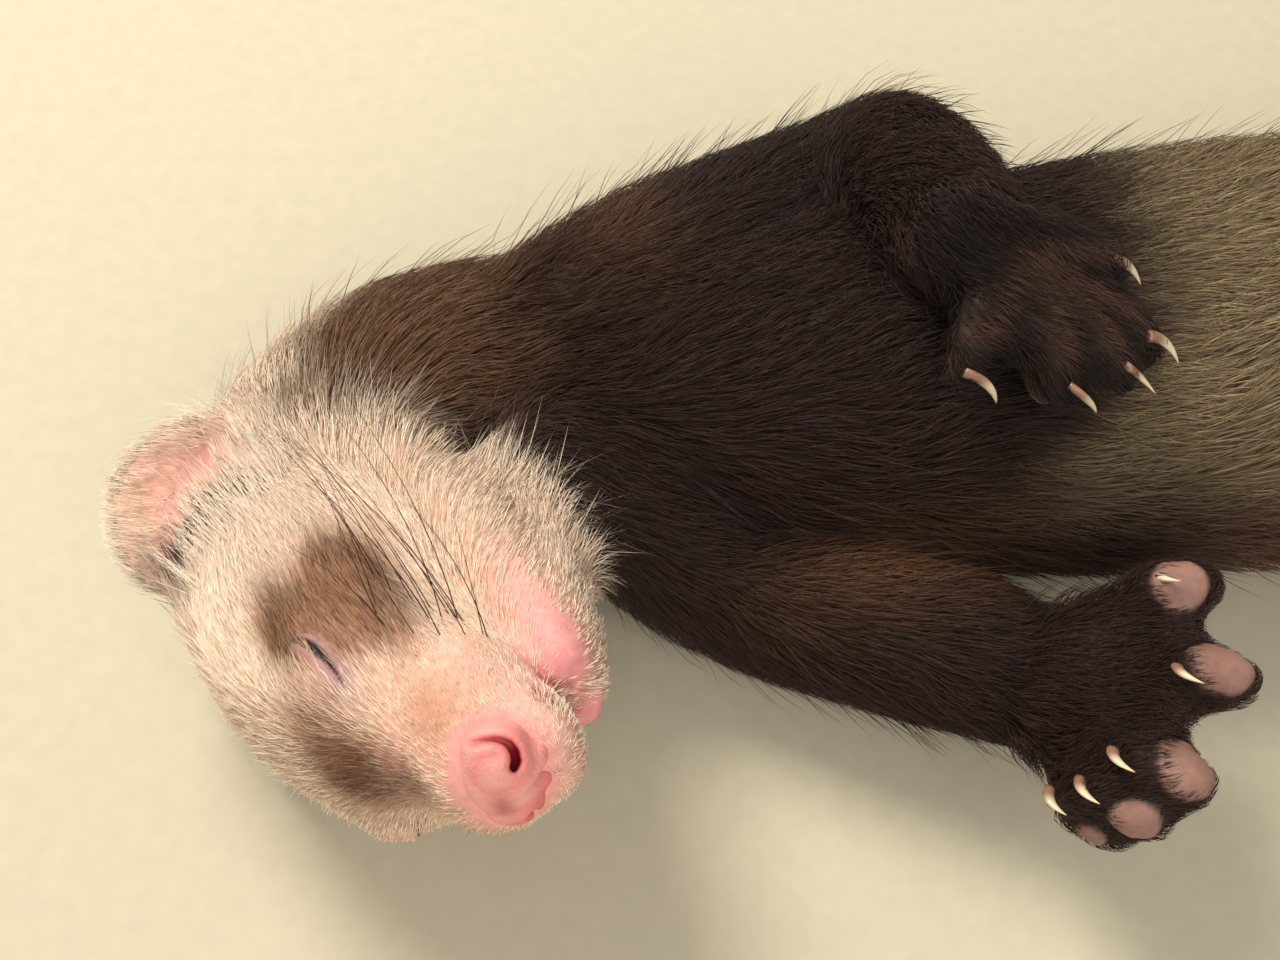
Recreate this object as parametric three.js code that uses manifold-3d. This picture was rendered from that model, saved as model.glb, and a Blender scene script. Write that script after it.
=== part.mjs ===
// A life-size ferret asleep on its back: the head is curled round to its right side and lies on the
// right cheek, both forelegs reach back along the belly, the hind legs are splayed and the tail lies
// on the floor. Millimetres, +Z up, head towards -X, the animal's left side towards +Y.
// Every solid is the outside of the coat. The nodes of one body meet face to face with a thin gap.
import * as THREE from "three";
import { mergeVertices } from "three/addons/utils/BufferGeometryUtils.js";
import Module from "manifold-3d";

const wasm = await Module();
wasm.setup();

// Driving dimensions
const GAP = 0.3; // between nodes that touch
const SINK = 1.2; // how far a resting part dips below the floor before its flat is cut
const HEAD_SCALE = 1.1; // every size of the head below is for a head 70 long
const HEAD_CENTRE = [-34.4, -27.8, 30];
const HEAD_FORWARD = [0.562, -0.612, 0.555];
const HEAD_LEFT = [-0.3, 0.472, 0.828];
const EYE_RADIUS = 4.3;
const EYE_AT = [10.8, 9.4, 6.6]; // forward, out to the side, up, from the head's centre
const LID_THICKNESS = 0.9;
const SLIT_LENGTH = 11;
const EAR_WIDTH = 29;
const EAR_HEIGHT = 15.5;
const EAR_BOWL = 4.6;
const EAR_THICKNESS = 2.3;
const CLAW_RADIUS = 1.25;
const TOE_RADIUS = 3.7;
const TOE_PAD = { radii: [4, 3.4, 2.7], drop: 2.6 }; // along the toe, across and above it; below its middle
const TRUNK_SPLITS = [70, 150]; // X of the cuts between chest, belly and hips
const TAIL_SPLITS = [250, 292]; // X of the cuts along the tail

const COLOURS = {
  face: [0.88, 0.79, 0.66],
  neck: [0.45, 0.36, 0.28],
  dark: [0.1, 0.07, 0.055],
  belly: [0.4, 0.37, 0.3],
  nose: [0.86, 0.45, 0.44],
  ear: [0.85, 0.68, 0.6],
  eye: [0.02, 0.02, 0.025],
  claw: [0.86, 0.8, 0.66],
};

const vec = (p) => new THREE.Vector3(...p);
const clamp01 = (x) => Math.min(1, Math.max(0, x));

function material(name, roughness) {
  const colour = new THREE.Color().setRGB(...COLOURS[name], THREE.SRGBColorSpace);
  return new THREE.MeshStandardMaterial({ color: colour, roughness, metalness: 0 });
}

const FUR = {
  face: material("face", 0.9),
  neck: material("neck", 0.9),
  dark: material("dark", 0.85),
  belly: material("belly", 0.9),
};
const BARE = {
  nose: material("nose", 0.45),
  ear: material("ear", 0.8),
  eye: material("eye", 0.15),
  claw: material("claw", 0.4),
};

// Solids from geometries
function solid(geometry) {
  const bare = geometry.clone();
  bare.deleteAttribute("normal");
  bare.deleteAttribute("uv");
  const merged = mergeVertices(bare, 1e-3);
  const vertProperties = new Float32Array(merged.attributes.position.array);
  const triVerts = new Uint32Array(merged.index.array);
  const made = new wasm.Manifold(new wasm.Mesh({ numProp: 3, vertProperties, triVerts }));
  if (made.volume() > 0) return made;
  for (let i = 0; i < triVerts.length; i += 3) {
    [triVerts[i + 1], triVerts[i + 2]] = [triVerts[i + 2], triVerts[i + 1]];
  }
  return new wasm.Manifold(new wasm.Mesh({ numProp: 3, vertProperties, triVerts }));
}

const largest = (shape) => shape.decompose().reduce((a, b) => (b.volume() > a.volume() ? b : a));
const join = (shapes) => shapes.reduce((a, b) => a.add(b));
const cut = (shape, others) => others.reduce((a, b) => a.subtract(b), shape);

// A sphere whose every vertex is put where place(v, angle) says, v running from pole to pole.
function reshapedSphere(sides, rows, place) {
  const geometry = new THREE.SphereGeometry(1, sides, rows);
  const position = geometry.attributes.position;
  for (let row = 0; row <= rows; row += 1) {
    for (let side = 0; side <= sides; side += 1) {
      const p = place(row / rows, ((side % sides) / sides) * 2 * Math.PI);
      position.setXYZ(row * (sides + 1) + side, p.x, p.y, p.z);
    }
  }
  return solid(geometry);
}

// A tube through stations { at, wide, tall, top }, with rounded ends that reach `cap` past them.
// `square` under 1 makes the section fuller than an ellipse. `grow` offsets the whole surface.
function tube({ stations, sides, steps, cap = 6, square = 1, capRows = 2 }, grow = 0) {
  const along = (pick) => new THREE.CatmullRomCurve3(stations.map(pick), false, "catmullrom", 0.5);
  const path = along((s) => vec(s.at));
  const size = along((s) => new THREE.Vector3(s.wide, s.tall, 0));
  const top = along((s) => vec(s.top ?? [0, 0, 1]));
  const rows = steps + 2 * capRows;
  return reshapedSphere(sides, rows, (v, angle) => {
    const row = v * rows;
    const t = clamp01((row - capRows) / steps);
    const before = Math.max(0, capRows - row) / capRows;
    const after = Math.max(0, row - capRows - steps) / capRows;
    const bend = ((before + after) * Math.PI) / 2;
    const tangent = path.getTangent(t);
    const side = tangent.clone().cross(top.getPoint(t)).normalize();
    const up = side.clone().cross(tangent).normalize();
    const reach = Math.sign(after - before) * (cap + grow) * Math.sin(bend);
    const scale = row === 0 || row === rows ? 0 : Math.cos(bend);
    const { x: wide, y: tall } = size.getPoint(t);
    const power = (c) => Math.sign(c) * Math.abs(c) ** square;
    return path
      .getPoint(t)
      .addScaledVector(tangent, reach)
      .addScaledVector(side, scale * (wide + grow) * power(Math.cos(angle)))
      .addScaledVector(up, scale * (tall + grow) * power(Math.sin(angle)));
  });
}

function ellipsoid(at, axes, radii, sides = 16, rows = 10) {
  const [a, b, c] = axes;
  return reshapedSphere(sides, rows, (v, angle) => {
    const ring = v === 0 || v === 1 ? 0 : Math.sin(v * Math.PI);
    return at
      .clone()
      .addScaledVector(a, radii[0] * Math.cos(v * Math.PI))
      .addScaledVector(b, radii[1] * ring * Math.cos(angle))
      .addScaledVector(c, radii[2] * ring * Math.sin(angle));
  });
}

function box(size, at) {
  return solid(new THREE.BoxGeometry(...size).translate(...at));
}

const FLOOR = box([700, 400, 60], [100, 0, -30]);

// The head's own frame: forward (nose), left, up (crown)
const forward = vec(HEAD_FORWARD).normalize();
const left = vec(HEAD_LEFT).addScaledVector(forward, -vec(HEAD_LEFT).dot(forward)).normalize();
const crown = forward.clone().cross(left);
const HEAD_AXES = [forward, left, crown].map((axis) => axis.clone().multiplyScalar(HEAD_SCALE));
const direction = (p) =>
  new THREE.Vector3()
    .addScaledVector(HEAD_AXES[0], p[0])
    .addScaledVector(HEAD_AXES[1], p[1])
    .addScaledVector(HEAD_AXES[2], p[2]);
const inHead = (p) => vec(HEAD_CENTRE).add(direction(p));
const headStation = (p, wide, tall) => ({
  at: inHead(p).toArray(),
  wide: wide * HEAD_SCALE,
  tall: tall * HEAD_SCALE,
  top: crown.toArray(),
});

// Head profile, from the back of the skull to the nose: forward, half width, top and bottom
const HEAD_PROFILE = [
  [-32, 14, 12, -15.5],
  [-26, 18, 14.6, -17.4],
  [-18, 21.4, 16.8, -17.8],
  [-9, 22.2, 17.4, -17.2],
  [0, 20.6, 16.8, -16],
  [7, 18, 15.4, -13.6],
  [13, 15.6, 13.2, -12],
  [19, 13.3, 10.2, -10.8],
  [25, 11.6, 8.2, -10],
  [29, 9.8, 7, -9],
  [32, 7, 5.4, -7],
];
// Soft swellings and hollows of the head's surface: where, how far they reach, how much they lift
const HEAD_FEATURES = [
  { at: [16, 12, 13], reach: 5, lift: 0.9 }, // brow
  { at: [19, 12, 5], reach: 5, lift: -0.9 }, // hollow before the eye
  { at: [24, 0, 9], reach: 7, lift: -0.7 }, // stop
  { at: [25, 10, -5], reach: 6, lift: 1.6 }, // whisker pad
  { at: [31, 0, -9.5], reach: 3, lift: -1.4 }, // cleft of the upper lip
  { at: [3, 19, -5], reach: 9, lift: 1.3 }, // cheek
  { at: [-14, 0, 18], reach: 10, lift: -0.6 }, // nape of the skull
];

function headSolid(grow = 0) {
  const steps = 17;
  const sides = 30;
  const capRows = 3;
  const rows = steps + 2 * capRows;
  const profile = HEAD_PROFILE.map(([f, wide, top, bottom]) => [vec([f, wide, 0]), vec([top, bottom, 0])]);
  const body = new THREE.CatmullRomCurve3(profile.map((p) => p[0]), false, "catmullrom", 0.5);
  const heights = new THREE.CatmullRomCurve3(profile.map((p) => p[1]), false, "catmullrom", 0.5);
  const backCap = 7;
  const frontCap = 3;
  return reshapedSphere(sides, rows, (v, angle) => {
    const row = v * rows;
    const t = clamp01((row - capRows) / steps);
    const before = Math.max(0, capRows - row) / capRows;
    const after = Math.max(0, row - capRows - steps) / capRows;
    const bend = ((before + after) * Math.PI) / 2;
    const reach = (after > 0 ? frontCap + grow : -(backCap + grow)) * Math.sin(bend);
    const scale = row === 0 || row === rows ? 0 : Math.cos(bend);
    const { x: at, y: wide } = body.getPoint(t);
    const { x: top, y: bottom } = heights.getPoint(t);
    const middle = (top + bottom) / 2;
    const tall = (top - bottom) / 2;
    const out = [0, Math.cos(angle), Math.sin(angle)];
    const local = [
      at + reach,
      out[1] * scale * (wide + grow),
      middle + out[2] * scale * (tall + grow),
    ];
    for (const { at: spot, reach: spread, lift } of HEAD_FEATURES) {
      for (const mirror of spot[1] === 0 ? [1] : [1, -1]) {
        const near = vec(local).distanceTo(vec([spot[0], spot[1] * mirror, spot[2]])) / spread;
        const push = lift * Math.exp(-near * near) * scale;
        local[1] += push * out[1];
        local[2] += push * out[2];
      }
    }
    return inHead(local);
  });
}

// The eye, and the closed lids over it
function eyeSolid(sign, grow = 0) {
  const at = inHead([EYE_AT[0], EYE_AT[1] * sign, EYE_AT[2]]);
  const radius = EYE_RADIUS + grow;
  return ellipsoid(at, HEAD_AXES, [radius, radius, radius], 12, 8);
}

function lidSlit(sign) {
  const along = direction([0.8, -0.45 * sign, -0.04]).normalize();
  const out = direction([0.48, 0.83 * sign, 0.1]).addScaledVector(along, -0.03).normalize();
  const across = along.clone().cross(out).normalize();
  const reach = EYE_RADIUS * HEAD_SCALE;
  const at = inHead([EYE_AT[0], EYE_AT[1] * sign, EYE_AT[2]]).addScaledVector(out, reach);
  return ellipsoid(at, [along, across, out], [SLIT_LENGTH / 2, 0.6, 2.4], 12, 10);
}

// An ear: a bowl-shaped disc whose lower half is sunk in the head
const EAR_BASE = [-21, 17.8, 3.2];
const EAR_ALONG = [0.3, -0.4, 0.8]; // from the rear foot of the ear to the front one
const EAR_OUT = [-0.5, 0.42, 0.75];

function earSolid(sign) {
  const mirrored = ([f, l, u]) => direction([f, l * sign, u]).normalize();
  const along = mirrored(EAR_ALONG);
  const opening = mirrored(EAR_OUT).cross(along).multiplyScalar(sign).normalize();
  const outward = along.clone().cross(opening).multiplyScalar(sign);
  const base = inHead([EAR_BASE[0], EAR_BASE[1] * sign, EAR_BASE[2]]);
  const rootDepth = 9;
  return reshapedSphere(22, 12, (v, angle) => {
    const fromPole = v === 0 || v === 1 ? 0 : Math.sin(v * Math.PI);
    const spread = Math.min(1, fromPole ** 0.7);
    const x = spread * Math.cos(angle);
    const y = spread * Math.sin(angle);
    const face = Math.cos(v * Math.PI);
    const bowl = -EAR_BOWL * (1 - Math.min(1, x * x + y * y));
    return base
      .clone()
      .addScaledVector(along, (EAR_WIDTH / 2) * HEAD_SCALE * x)
      .addScaledVector(outward, (y > 0 ? EAR_HEIGHT : rootDepth) * HEAD_SCALE * y)
      .addScaledVector(opening, bowl + (EAR_THICKNESS / 2) * face);
  });
}

// The nose pad, with a comma-shaped nostril on each side and the groove below
function noseSolid() {
  const pad = ellipsoid(inHead([32, 0, 0.6]), HEAD_AXES, [6, 7.8, 5.8], 18, 10);
  const groove = ellipsoid(inHead([36.9, 0, -4.2]), HEAD_AXES, [2.4, 0.45, 4.4], 6, 6);
  const nostrils = [1, -1].flatMap((sign) => [
    tube({
      stations: [
        headStation([33, 3.4 * sign, 0.2], 1.1, 1),
        headStation([39, 2.7 * sign, -0.6], 1.5, 1.4),
      ],
      sides: 7,
      steps: 1,
      cap: 1,
    }),
    tube({
      stations: [
        headStation([37, 3.2 * sign, -0.2], 0.8, 1.1),
        headStation([36, 5.8 * sign, 1.4], 0.7, 0.9),
        headStation([33.4, 8.4 * sign, -0.4], 0.6, 0.8),
      ],
      sides: 6,
      steps: 4,
      cap: 0.6,
      capRows: 1,
    }),
  ]);
  return cut(pad, [groove, ...nostrils]);
}

function jawSolid(grow = 0) {
  const shape = {
    stations: [
      headStation([-9, 0, -18.5], 15.5, 10.5),
      headStation([2, 0, -17.6], 14.4, 9.4),
      headStation([12, 0, -15.8], 12.2, 8.2),
      headStation([20, 0, -13.8], 9.6, 6.6),
      headStation([26.5, 0, -12.4], 7, 4.4),
    ],
    sides: 18,
    steps: 8,
    cap: 3,
  };
  return tube(shape, grow);
}

// Trunk, neck and tail
const resting = (x, y, wide, tall) => ({ at: [x, y, tall - SINK], wide, tall });
const TRUNK = {
  stations: [
    resting(-8, 20, 22, 21),
    resting(14, 20, 27, 24),
    resting(42, 21.5, 31, 25),
    resting(72, 25, 34.5, 24.5),
    resting(100, 28, 36.5, 24.5),
    resting(130, 30, 36.5, 24),
    resting(158, 31, 33, 23.5),
    resting(182, 31, 27.5, 22),
    resting(204, 30, 19, 17.5),
  ],
  sides: 22,
  steps: 20,
  cap: 12,
  capRows: 3,
  square: 0.92,
};
const NECK = {
  stations: [
    resting(8, 20, 21, 21.5),
    resting(-14, 23, 20.5, 20.5),
    resting(-31, 22.5, 20, 19.6),
    resting(-44, 15.5, 19, 18.6),
    resting(-51, 4, 18, 17.6),
    resting(-51, -8, 16.5, 16.5),
    resting(-46, -15, 14, 15),
  ],
  sides: 20,
  steps: 14,
  cap: 4,
};
const TAIL = {
  stations: [
    { at: [196, 30, 15], wide: 11, tall: 11 },
    { at: [215, 29, 11.5], wide: 11, tall: 11 },
    { at: [238, 24, 11], wide: 12, tall: 12 },
    { at: [264, 15, 11.2], wide: 12.6, tall: 12.4 },
    { at: [290, 5, 10.6], wide: 12, tall: 11.8 },
    { at: [314, -2, 8], wide: 9, tall: 9 },
    { at: [331, -4, 5], wide: 4.2, tall: 4.4 },
  ],
  sides: 14,
  steps: 13,
  cap: 6,
  capRows: 3,
};

// Legs: every station is a joint or a point between joints, with the leg's half thickness there
const round = (at, radius, flat = 1) => ({ at, wide: radius, tall: radius * flat });
const LEGS = {
  upper_arm_left: {
    stations: [
      round([-12, 27, 28], 15),
      round([4, 36, 30], 15.5),
      round([22, 47, 29], 14.2),
      round([37, 57.5, 27], 13.3),
    ],
    sides: 14,
    steps: 6,
    cap: 9,
  },
  upper_arm_right: {
    stations: [
      round([-14, 8, 27], 13.5),
      round([-4, 2, 25], 14.5),
      round([6, -3.5, 19], 13.8),
      round([14, -8.5, 14], 12.8),
    ],
    sides: 14,
    steps: 5,
    cap: 7,
  },
  forearm_left: {
    stations: [
      round([38, 62, 25], 11.8),
      round([39.5, 51, 36], 13),
      round([41.5, 36, 47], 11.8),
      round([43.5, 22, 55], 9.4),
    ],
    sides: 14,
    steps: 6,
    cap: 5,
  },
  forearm_right: {
    stations: [
      round([12, -8, 14.5], 11.8),
      round([23, -11.5, 15.5], 13.2),
      round([37, -17.5, 18], 12.8),
      round([50, -24, 20.5], 11),
    ],
    sides: 14,
    steps: 6,
    cap: 5,
  },
  thigh_left: {
    stations: [
      round([186, 38, 21], 19),
      round([172, 54, 24], 18.5),
      round([157, 69, 25], 15.5),
      round([147, 77, 25], 12.5),
    ],
    sides: 14,
    steps: 6,
    cap: 8,
  },
  thigh_right: {
    stations: [
      round([186, 24, 21], 19),
      round([173, 6, 23], 18.5),
      round([159, -9, 24], 15.5),
      round([150, -17, 24], 12.5),
    ],
    sides: 14,
    steps: 6,
    cap: 8,
  },
  shank_left: {
    stations: [
      round([146, 80, 23], 11.5),
      round([160, 84, 18], 12),
      round([178, 86, 12], 9.8),
      round([194, 85, 8], 8.4),
    ],
    sides: 13,
    steps: 6,
    cap: 5,
  },
  shank_right: {
    stations: [
      round([149, -20, 22], 11.5),
      round([163, -26, 17], 12),
      round([181, -29, 12], 9.8),
      round([197, -29, 8], 8.4),
    ],
    sides: 13,
    steps: 6,
    cap: 5,
  },
};

// A paw: a palm from the wrist to the knuckles, five toes with a pad under each tip, and claws.
// `toes` holds where the flesh of each toe ends, ahead of the wrist, across and above it, and its twist.
const hindToes = [26, 13, 0, -13, -26].map((splay, index) => {
  const angle = THREE.MathUtils.degToRad(splay);
  const length = 15.5 - 2.5 * Math.abs(index - 2) ** 1.5;
  return [33 + length * Math.cos(angle), 12.5 * Math.sin(angle) * 1.35, -1.5];
});
const PAWS = {
  forepaw_left: {
    wrist: [43.5, 21.2, 57],
    aim: [0.78, -0.58, -0.16],
    back: [0.2, 0, 1],
    palm: { length: 15, wide: 8.8, tall: 5.6 },
    toes: [
      [16.2, 8.1, 0.3],
      [25.7, 0.6, 0],
      [25.3, -5.2, -0.7],
      [20.6, -10.9, -2.7],
      [9.9, -15.3, -5.3],
    ],
    arch: 2.2,
    claw: { back: 0.5, rise: 0.5, length: 7.5, way: [0.93, -0.22, -0.3] },
  },
  forepaw_right: {
    wrist: [51.5, -25.5, 20.5],
    aim: [0.76, -0.28, 0.6],
    back: [-0.64, 0, 0.77],
    palm: { length: 17, wide: 10.2, tall: 6.4 },
    toes: [
      [20.8, 12.0, 3.8, -8],
      [27.1, 0.2, 4.2, 0],
      [23.6, -13.0, 8.6, 8],
      [18.3, -17.3, 7.2, 32],
      [13.1, -18.3, 3.8, 36],
    ],
    arch: -2.6,
    toeTall: 1.25,
    pad: { radii: [4, 3.8, 4.7], drop: 3.6 },
    claw: { back: 0.6, rise: 1.3, length: 4.8, way: [0.1, -0.8, 0.5] },
  },
  hindfoot_left: {
    wrist: [196, 85, 8.6],
    aim: [0.97, -0.12, 0.14],
    back: [-0.14, 0, 1],
    palm: { length: 34, wide: 8.8, tall: 6.2 },
    toes: hindToes,
    arch: 1.6,
    claw: { back: 0.5, rise: 0.5, length: 8, way: [0.96, -0.12, -0.2] },
  },
  hindfoot_right: {
    wrist: [199, -29, 8.6],
    aim: [0.95, 0.2, 0.16],
    back: [-0.16, 0, 1],
    palm: { length: 34, wide: 8.8, tall: 6.2 },
    toes: hindToes,
    arch: 1.6,
    claw: { back: 0.5, rise: 0.5, length: 8, way: [0.94, 0.2, -0.2] },
  },
};

function pawFrame({ wrist, aim, back }) {
  const ahead = vec(aim).normalize();
  const above = vec(back).addScaledVector(ahead, -vec(back).dot(ahead)).normalize();
  const across = above.clone().cross(ahead);
  const point = (a, s, b) =>
    vec(wrist).addScaledVector(ahead, a).addScaledVector(across, s).addScaledVector(above, b);
  return { ahead, above, across, point };
}

// The line of one toe from its root in the palm over the middle joint to its tip
function toeLine(paw, index) {
  const { point, above } = pawFrame(paw);
  const [ahead, across, up, twist = 0] = paw.toes[index];
  const { length, wide } = paw.palm;
  const tip = point(ahead, across, up);
  const rootAcross = THREE.MathUtils.clamp(across * 0.6, -wide * 0.72, wide * 0.72);
  const root = point(Math.min(length * 0.7, ahead * 0.6), rootAcross, 0);
  const joint = root.clone().lerp(tip, 0.55).addScaledVector(above, paw.arch);
  const way = tip.clone().sub(joint).normalize();
  const side = above.clone().cross(way).normalize();
  side.applyAxisAngle(way, THREE.MathUtils.degToRad(twist));
  return { root, joint, tip, way, above: way.clone().cross(side), across: side };
}

function pawSolid(paw, grow = 0) {
  const { point, ahead, above, across } = pawFrame(paw);
  const { toeTall = 1, pad = TOE_PAD } = paw;
  const { length, wide, tall } = paw.palm;
  const top = above.toArray();
  const palm = tube(
    {
      stations: [
        { at: point(-4, 0, 0).toArray(), wide: wide * 0.92, tall: wide * 0.86, top },
        { at: point(length * 0.35, 0, 0.2).toArray(), wide: wide * 0.94, tall: tall * 1.15, top },
        { at: point(length * 0.8, 0, 0).toArray(), wide: wide * 1.12, tall, top },
      ],
      sides: 12,
      steps: 3,
      cap: 5,
    },
    grow,
  );
  const toes = paw.toes.map((_, index) => {
    const { root, joint, tip, above: toeAbove } = toeLine(paw, index);
    const toeTop = toeAbove.toArray();
    const wideAt = (share) => ({ wide: TOE_RADIUS * share, tall: TOE_RADIUS * share * toeTall });
    const station = (at, share) => ({ at: at.toArray(), ...wideAt(share), top: toeTop });
    const stations = [station(root, 1.02), station(joint, 1.04), station(tip, 0.84)];
    return tube({ stations, sides: 6, steps: 3, cap: 2.4 }, grow);
  });
  const pads = paw.toes.map((_, index) => {
    const line = toeLine(paw, index);
    const at = line.joint.clone().lerp(line.tip, 0.88).addScaledVector(line.above, -pad.drop);
    const radii = pad.radii.map((radius) => radius + grow);
    return ellipsoid(at, [line.way, line.across, line.above], radii, 6, 5);
  });
  const solePad = ellipsoid(
    point(length * 0.78, 0, -tall * 0.72),
    [ahead, across, above],
    [4.6 + grow, 6.4 + grow, 2.6 + grow],
    9,
    6,
  );
  return join([palm, ...toes, ...pads, solePad]);
}

// A claw bends from the toe's own way into the way that all claws of the paw point
function clawSolid(paw, index) {
  const { tip, way, above } = toeLine(paw, index);
  const { back, rise, length, way: reach } = paw.claw;
  const root = tip.clone().addScaledVector(way, -back).addScaledVector(above, TOE_RADIUS * rise);
  const bent = way.clone().lerp(vec(reach).normalize(), 0.7).normalize();
  const along = (share, lift) =>
    root.clone().addScaledVector(bent, length * share).addScaledVector(above, lift).toArray();
  const top = above.toArray();
  return tube({
    stations: [
      { at: along(0, 0), wide: CLAW_RADIUS * 0.8, tall: CLAW_RADIUS, top },
      { at: along(0.4, 0.4), wide: CLAW_RADIUS * 0.72, tall: CLAW_RADIUS * 0.9, top },
      { at: along(0.75, 0), wide: CLAW_RADIUS * 0.5, tall: CLAW_RADIUS * 0.6, top },
      { at: along(1, -1), wide: 0.28, tall: 0.3, top },
    ],
    sides: 5,
    steps: 4,
    cap: 0.4,
    capRows: 1,
  });
}

// Thin walls that part a long solid at given X, so that each length is a node
function splitAlongX(shape, cuts) {
  const slabs = cuts.map((x) => box([GAP, 400, 200], [x, 0, 60]));
  const middle = (piece) => {
    const { min, max } = piece.boundingBox();
    return min[0] + max[0];
  };
  return cut(shape, slabs)
    .decompose()
    .filter((piece) => piece.volume() > 10)
    .sort((a, b) => middle(a) - middle(b));
}

// Assembly
const ferret = new THREE.Group();
function addNode(name, shape, look) {
  const { vertProperties, triVerts, numProp } = largest(shape).getMesh();
  const points = new Float32Array((vertProperties.length / numProp) * 3);
  for (let i = 0; i < points.length / 3; i += 1) {
    points.set(vertProperties.subarray(i * numProp, i * numProp + 3), i * 3);
  }
  const geometry = new THREE.BufferGeometry();
  geometry.setAttribute("position", new THREE.BufferAttribute(points, 3));
  geometry.setIndex(new THREE.BufferAttribute(triVerts, 1));
  geometry.computeVertexNormals();
  const mesh = new THREE.Mesh(geometry, look);
  mesh.name = name;
  ferret.add(mesh);
}

const trunk = cut(tube(TRUNK), [FLOOR]);
const trunkClear = tube(TRUNK, GAP);
const [chest, belly, hips] = splitAlongX(trunk, TRUNK_SPLITS);
addNode("chest", chest, FUR.dark);
addNode("belly", belly, FUR.belly);
addNode("hips", hips, FUR.belly);

const headClear = headSolid(GAP);
const jawClear = jawSolid(GAP);
const neckClear = tube(NECK, GAP);
const neck = cut(tube(NECK), [trunkClear, headClear, jawClear, FLOOR]);
const neckParts = splitAlongX(neck, [-38]).slice(0, 2);
addNode("neck_front", neckParts[0], FUR.neck);
addNode("neck_base", neckParts[1], FUR.neck);

const tailLengths = splitAlongX(cut(tube(TAIL), [trunkClear, FLOOR]), TAIL_SPLITS);
tailLengths.forEach((length, index) => addNode(`tail_${index + 1}`, length, FUR.dark));

// Head: the lids are balls over the eyes, opened by the slit between them
const lidRadius = EYE_RADIUS + GAP + LID_THICKNESS;
const lids = [1, -1].map((sign) => {
  const at = inHead([EYE_AT[0], EYE_AT[1] * sign, EYE_AT[2]]);
  return ellipsoid(at, HEAD_AXES, [lidRadius, lidRadius, lidRadius], 12, 9);
});
const ears = [1, -1].map(earSolid);
const headWhole = join([headSolid(), ...lids]);
const sockets = [1, -1].flatMap((sign) => [eyeSolid(sign, GAP), lidSlit(sign)]);
const head = cut(headWhole, [...sockets, trunkClear, FLOOR]);
addNode("head", head, FUR.face);
addNode("lower_jaw", cut(jawSolid(), [headClear, trunkClear, FLOOR]), FUR.face);
addNode("nose_pad", cut(noseSolid(), [headClear]), BARE.nose);
addNode("eye_left", eyeSolid(1), BARE.eye);
addNode("eye_right", eyeSolid(-1), BARE.eye);
addNode("ear_left", cut(ears[0], [headClear, neckClear]), BARE.ear);
addNode("ear_right", cut(ears[1], [headClear, neckClear, FLOOR]), BARE.ear);

// Legs, each cut clear of what it grows from and of what it lies against
const GROWS_FROM = {
  upper_arm_left: [],
  upper_arm_right: [],
  forearm_left: ["upper_arm_left"],
  forearm_right: ["upper_arm_right"],
  thigh_left: [],
  thigh_right: [],
  shank_left: ["thigh_left"],
  shank_right: ["thigh_right"],
};
const PAW_OF = {
  forepaw_left: "forearm_left",
  forepaw_right: "forearm_right",
  hindfoot_left: "shank_left",
  hindfoot_right: "shank_right",
};
const legClear = (name) => tube(LEGS[name], GAP);
for (const [name, roots] of Object.entries(GROWS_FROM)) {
  const around = [trunkClear, neckClear, headClear, jawClear, FLOOR, ...roots.map(legClear)];
  addNode(name, cut(tube(LEGS[name]), around), FUR.dark);
}
for (const [name, leg] of Object.entries(PAW_OF)) {
  const paw = PAWS[name];
  addNode(name, cut(pawSolid(paw), [legClear(leg), trunkClear, FLOOR]), FUR.dark);
  const pawClear = pawSolid(paw, GAP);
  paw.toes.forEach((_, index) => {
    addNode(`${name}_claw_${index + 1}`, cut(clawSolid(paw, index), [pawClear, trunkClear]), BARE.claw);
  });
}

// The origin is the middle of the footprint, on the floor
const bounds = new THREE.Box3().setFromObject(ferret);
const middle = bounds.getCenter(new THREE.Vector3());
ferret.position.set(-middle.x, -middle.y, -bounds.min.z);

export default ferret;
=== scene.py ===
"""A sable ferret asleep on its back: one skin over its flesh, a coat of mesh hairs, and its bare parts.

Lengths are in millimetres in the design frame (X to the tail, Y to the ferret's left, Z up) until a
mesh is made, which puts them into the row frame in metres.
"""

import math

import bpy
import numpy as np
import openvdb as vdb
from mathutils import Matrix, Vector


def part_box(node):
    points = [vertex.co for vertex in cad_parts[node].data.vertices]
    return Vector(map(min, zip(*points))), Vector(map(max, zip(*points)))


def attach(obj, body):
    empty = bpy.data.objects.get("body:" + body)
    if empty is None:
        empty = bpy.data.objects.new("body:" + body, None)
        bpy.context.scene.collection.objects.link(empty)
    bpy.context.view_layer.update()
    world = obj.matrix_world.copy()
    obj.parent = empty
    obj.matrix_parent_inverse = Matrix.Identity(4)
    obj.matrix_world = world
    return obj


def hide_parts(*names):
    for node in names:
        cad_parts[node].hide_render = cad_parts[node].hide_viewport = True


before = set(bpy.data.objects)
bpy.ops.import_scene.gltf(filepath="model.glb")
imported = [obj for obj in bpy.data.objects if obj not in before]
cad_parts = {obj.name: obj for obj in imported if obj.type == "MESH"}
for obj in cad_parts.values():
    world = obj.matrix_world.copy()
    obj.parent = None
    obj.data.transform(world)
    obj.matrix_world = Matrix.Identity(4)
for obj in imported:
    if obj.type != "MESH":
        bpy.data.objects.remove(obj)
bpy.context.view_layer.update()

FINE = 0.6  # spacing of the field that the skin is made from
COARSE = 2.4  # spacing of the fields that steer the coat
STEP = round(COARSE / FINE)
BAND = 9.0  # how far the distances are kept
SEAM = 0.35  # closes the gaps between nodes

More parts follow.
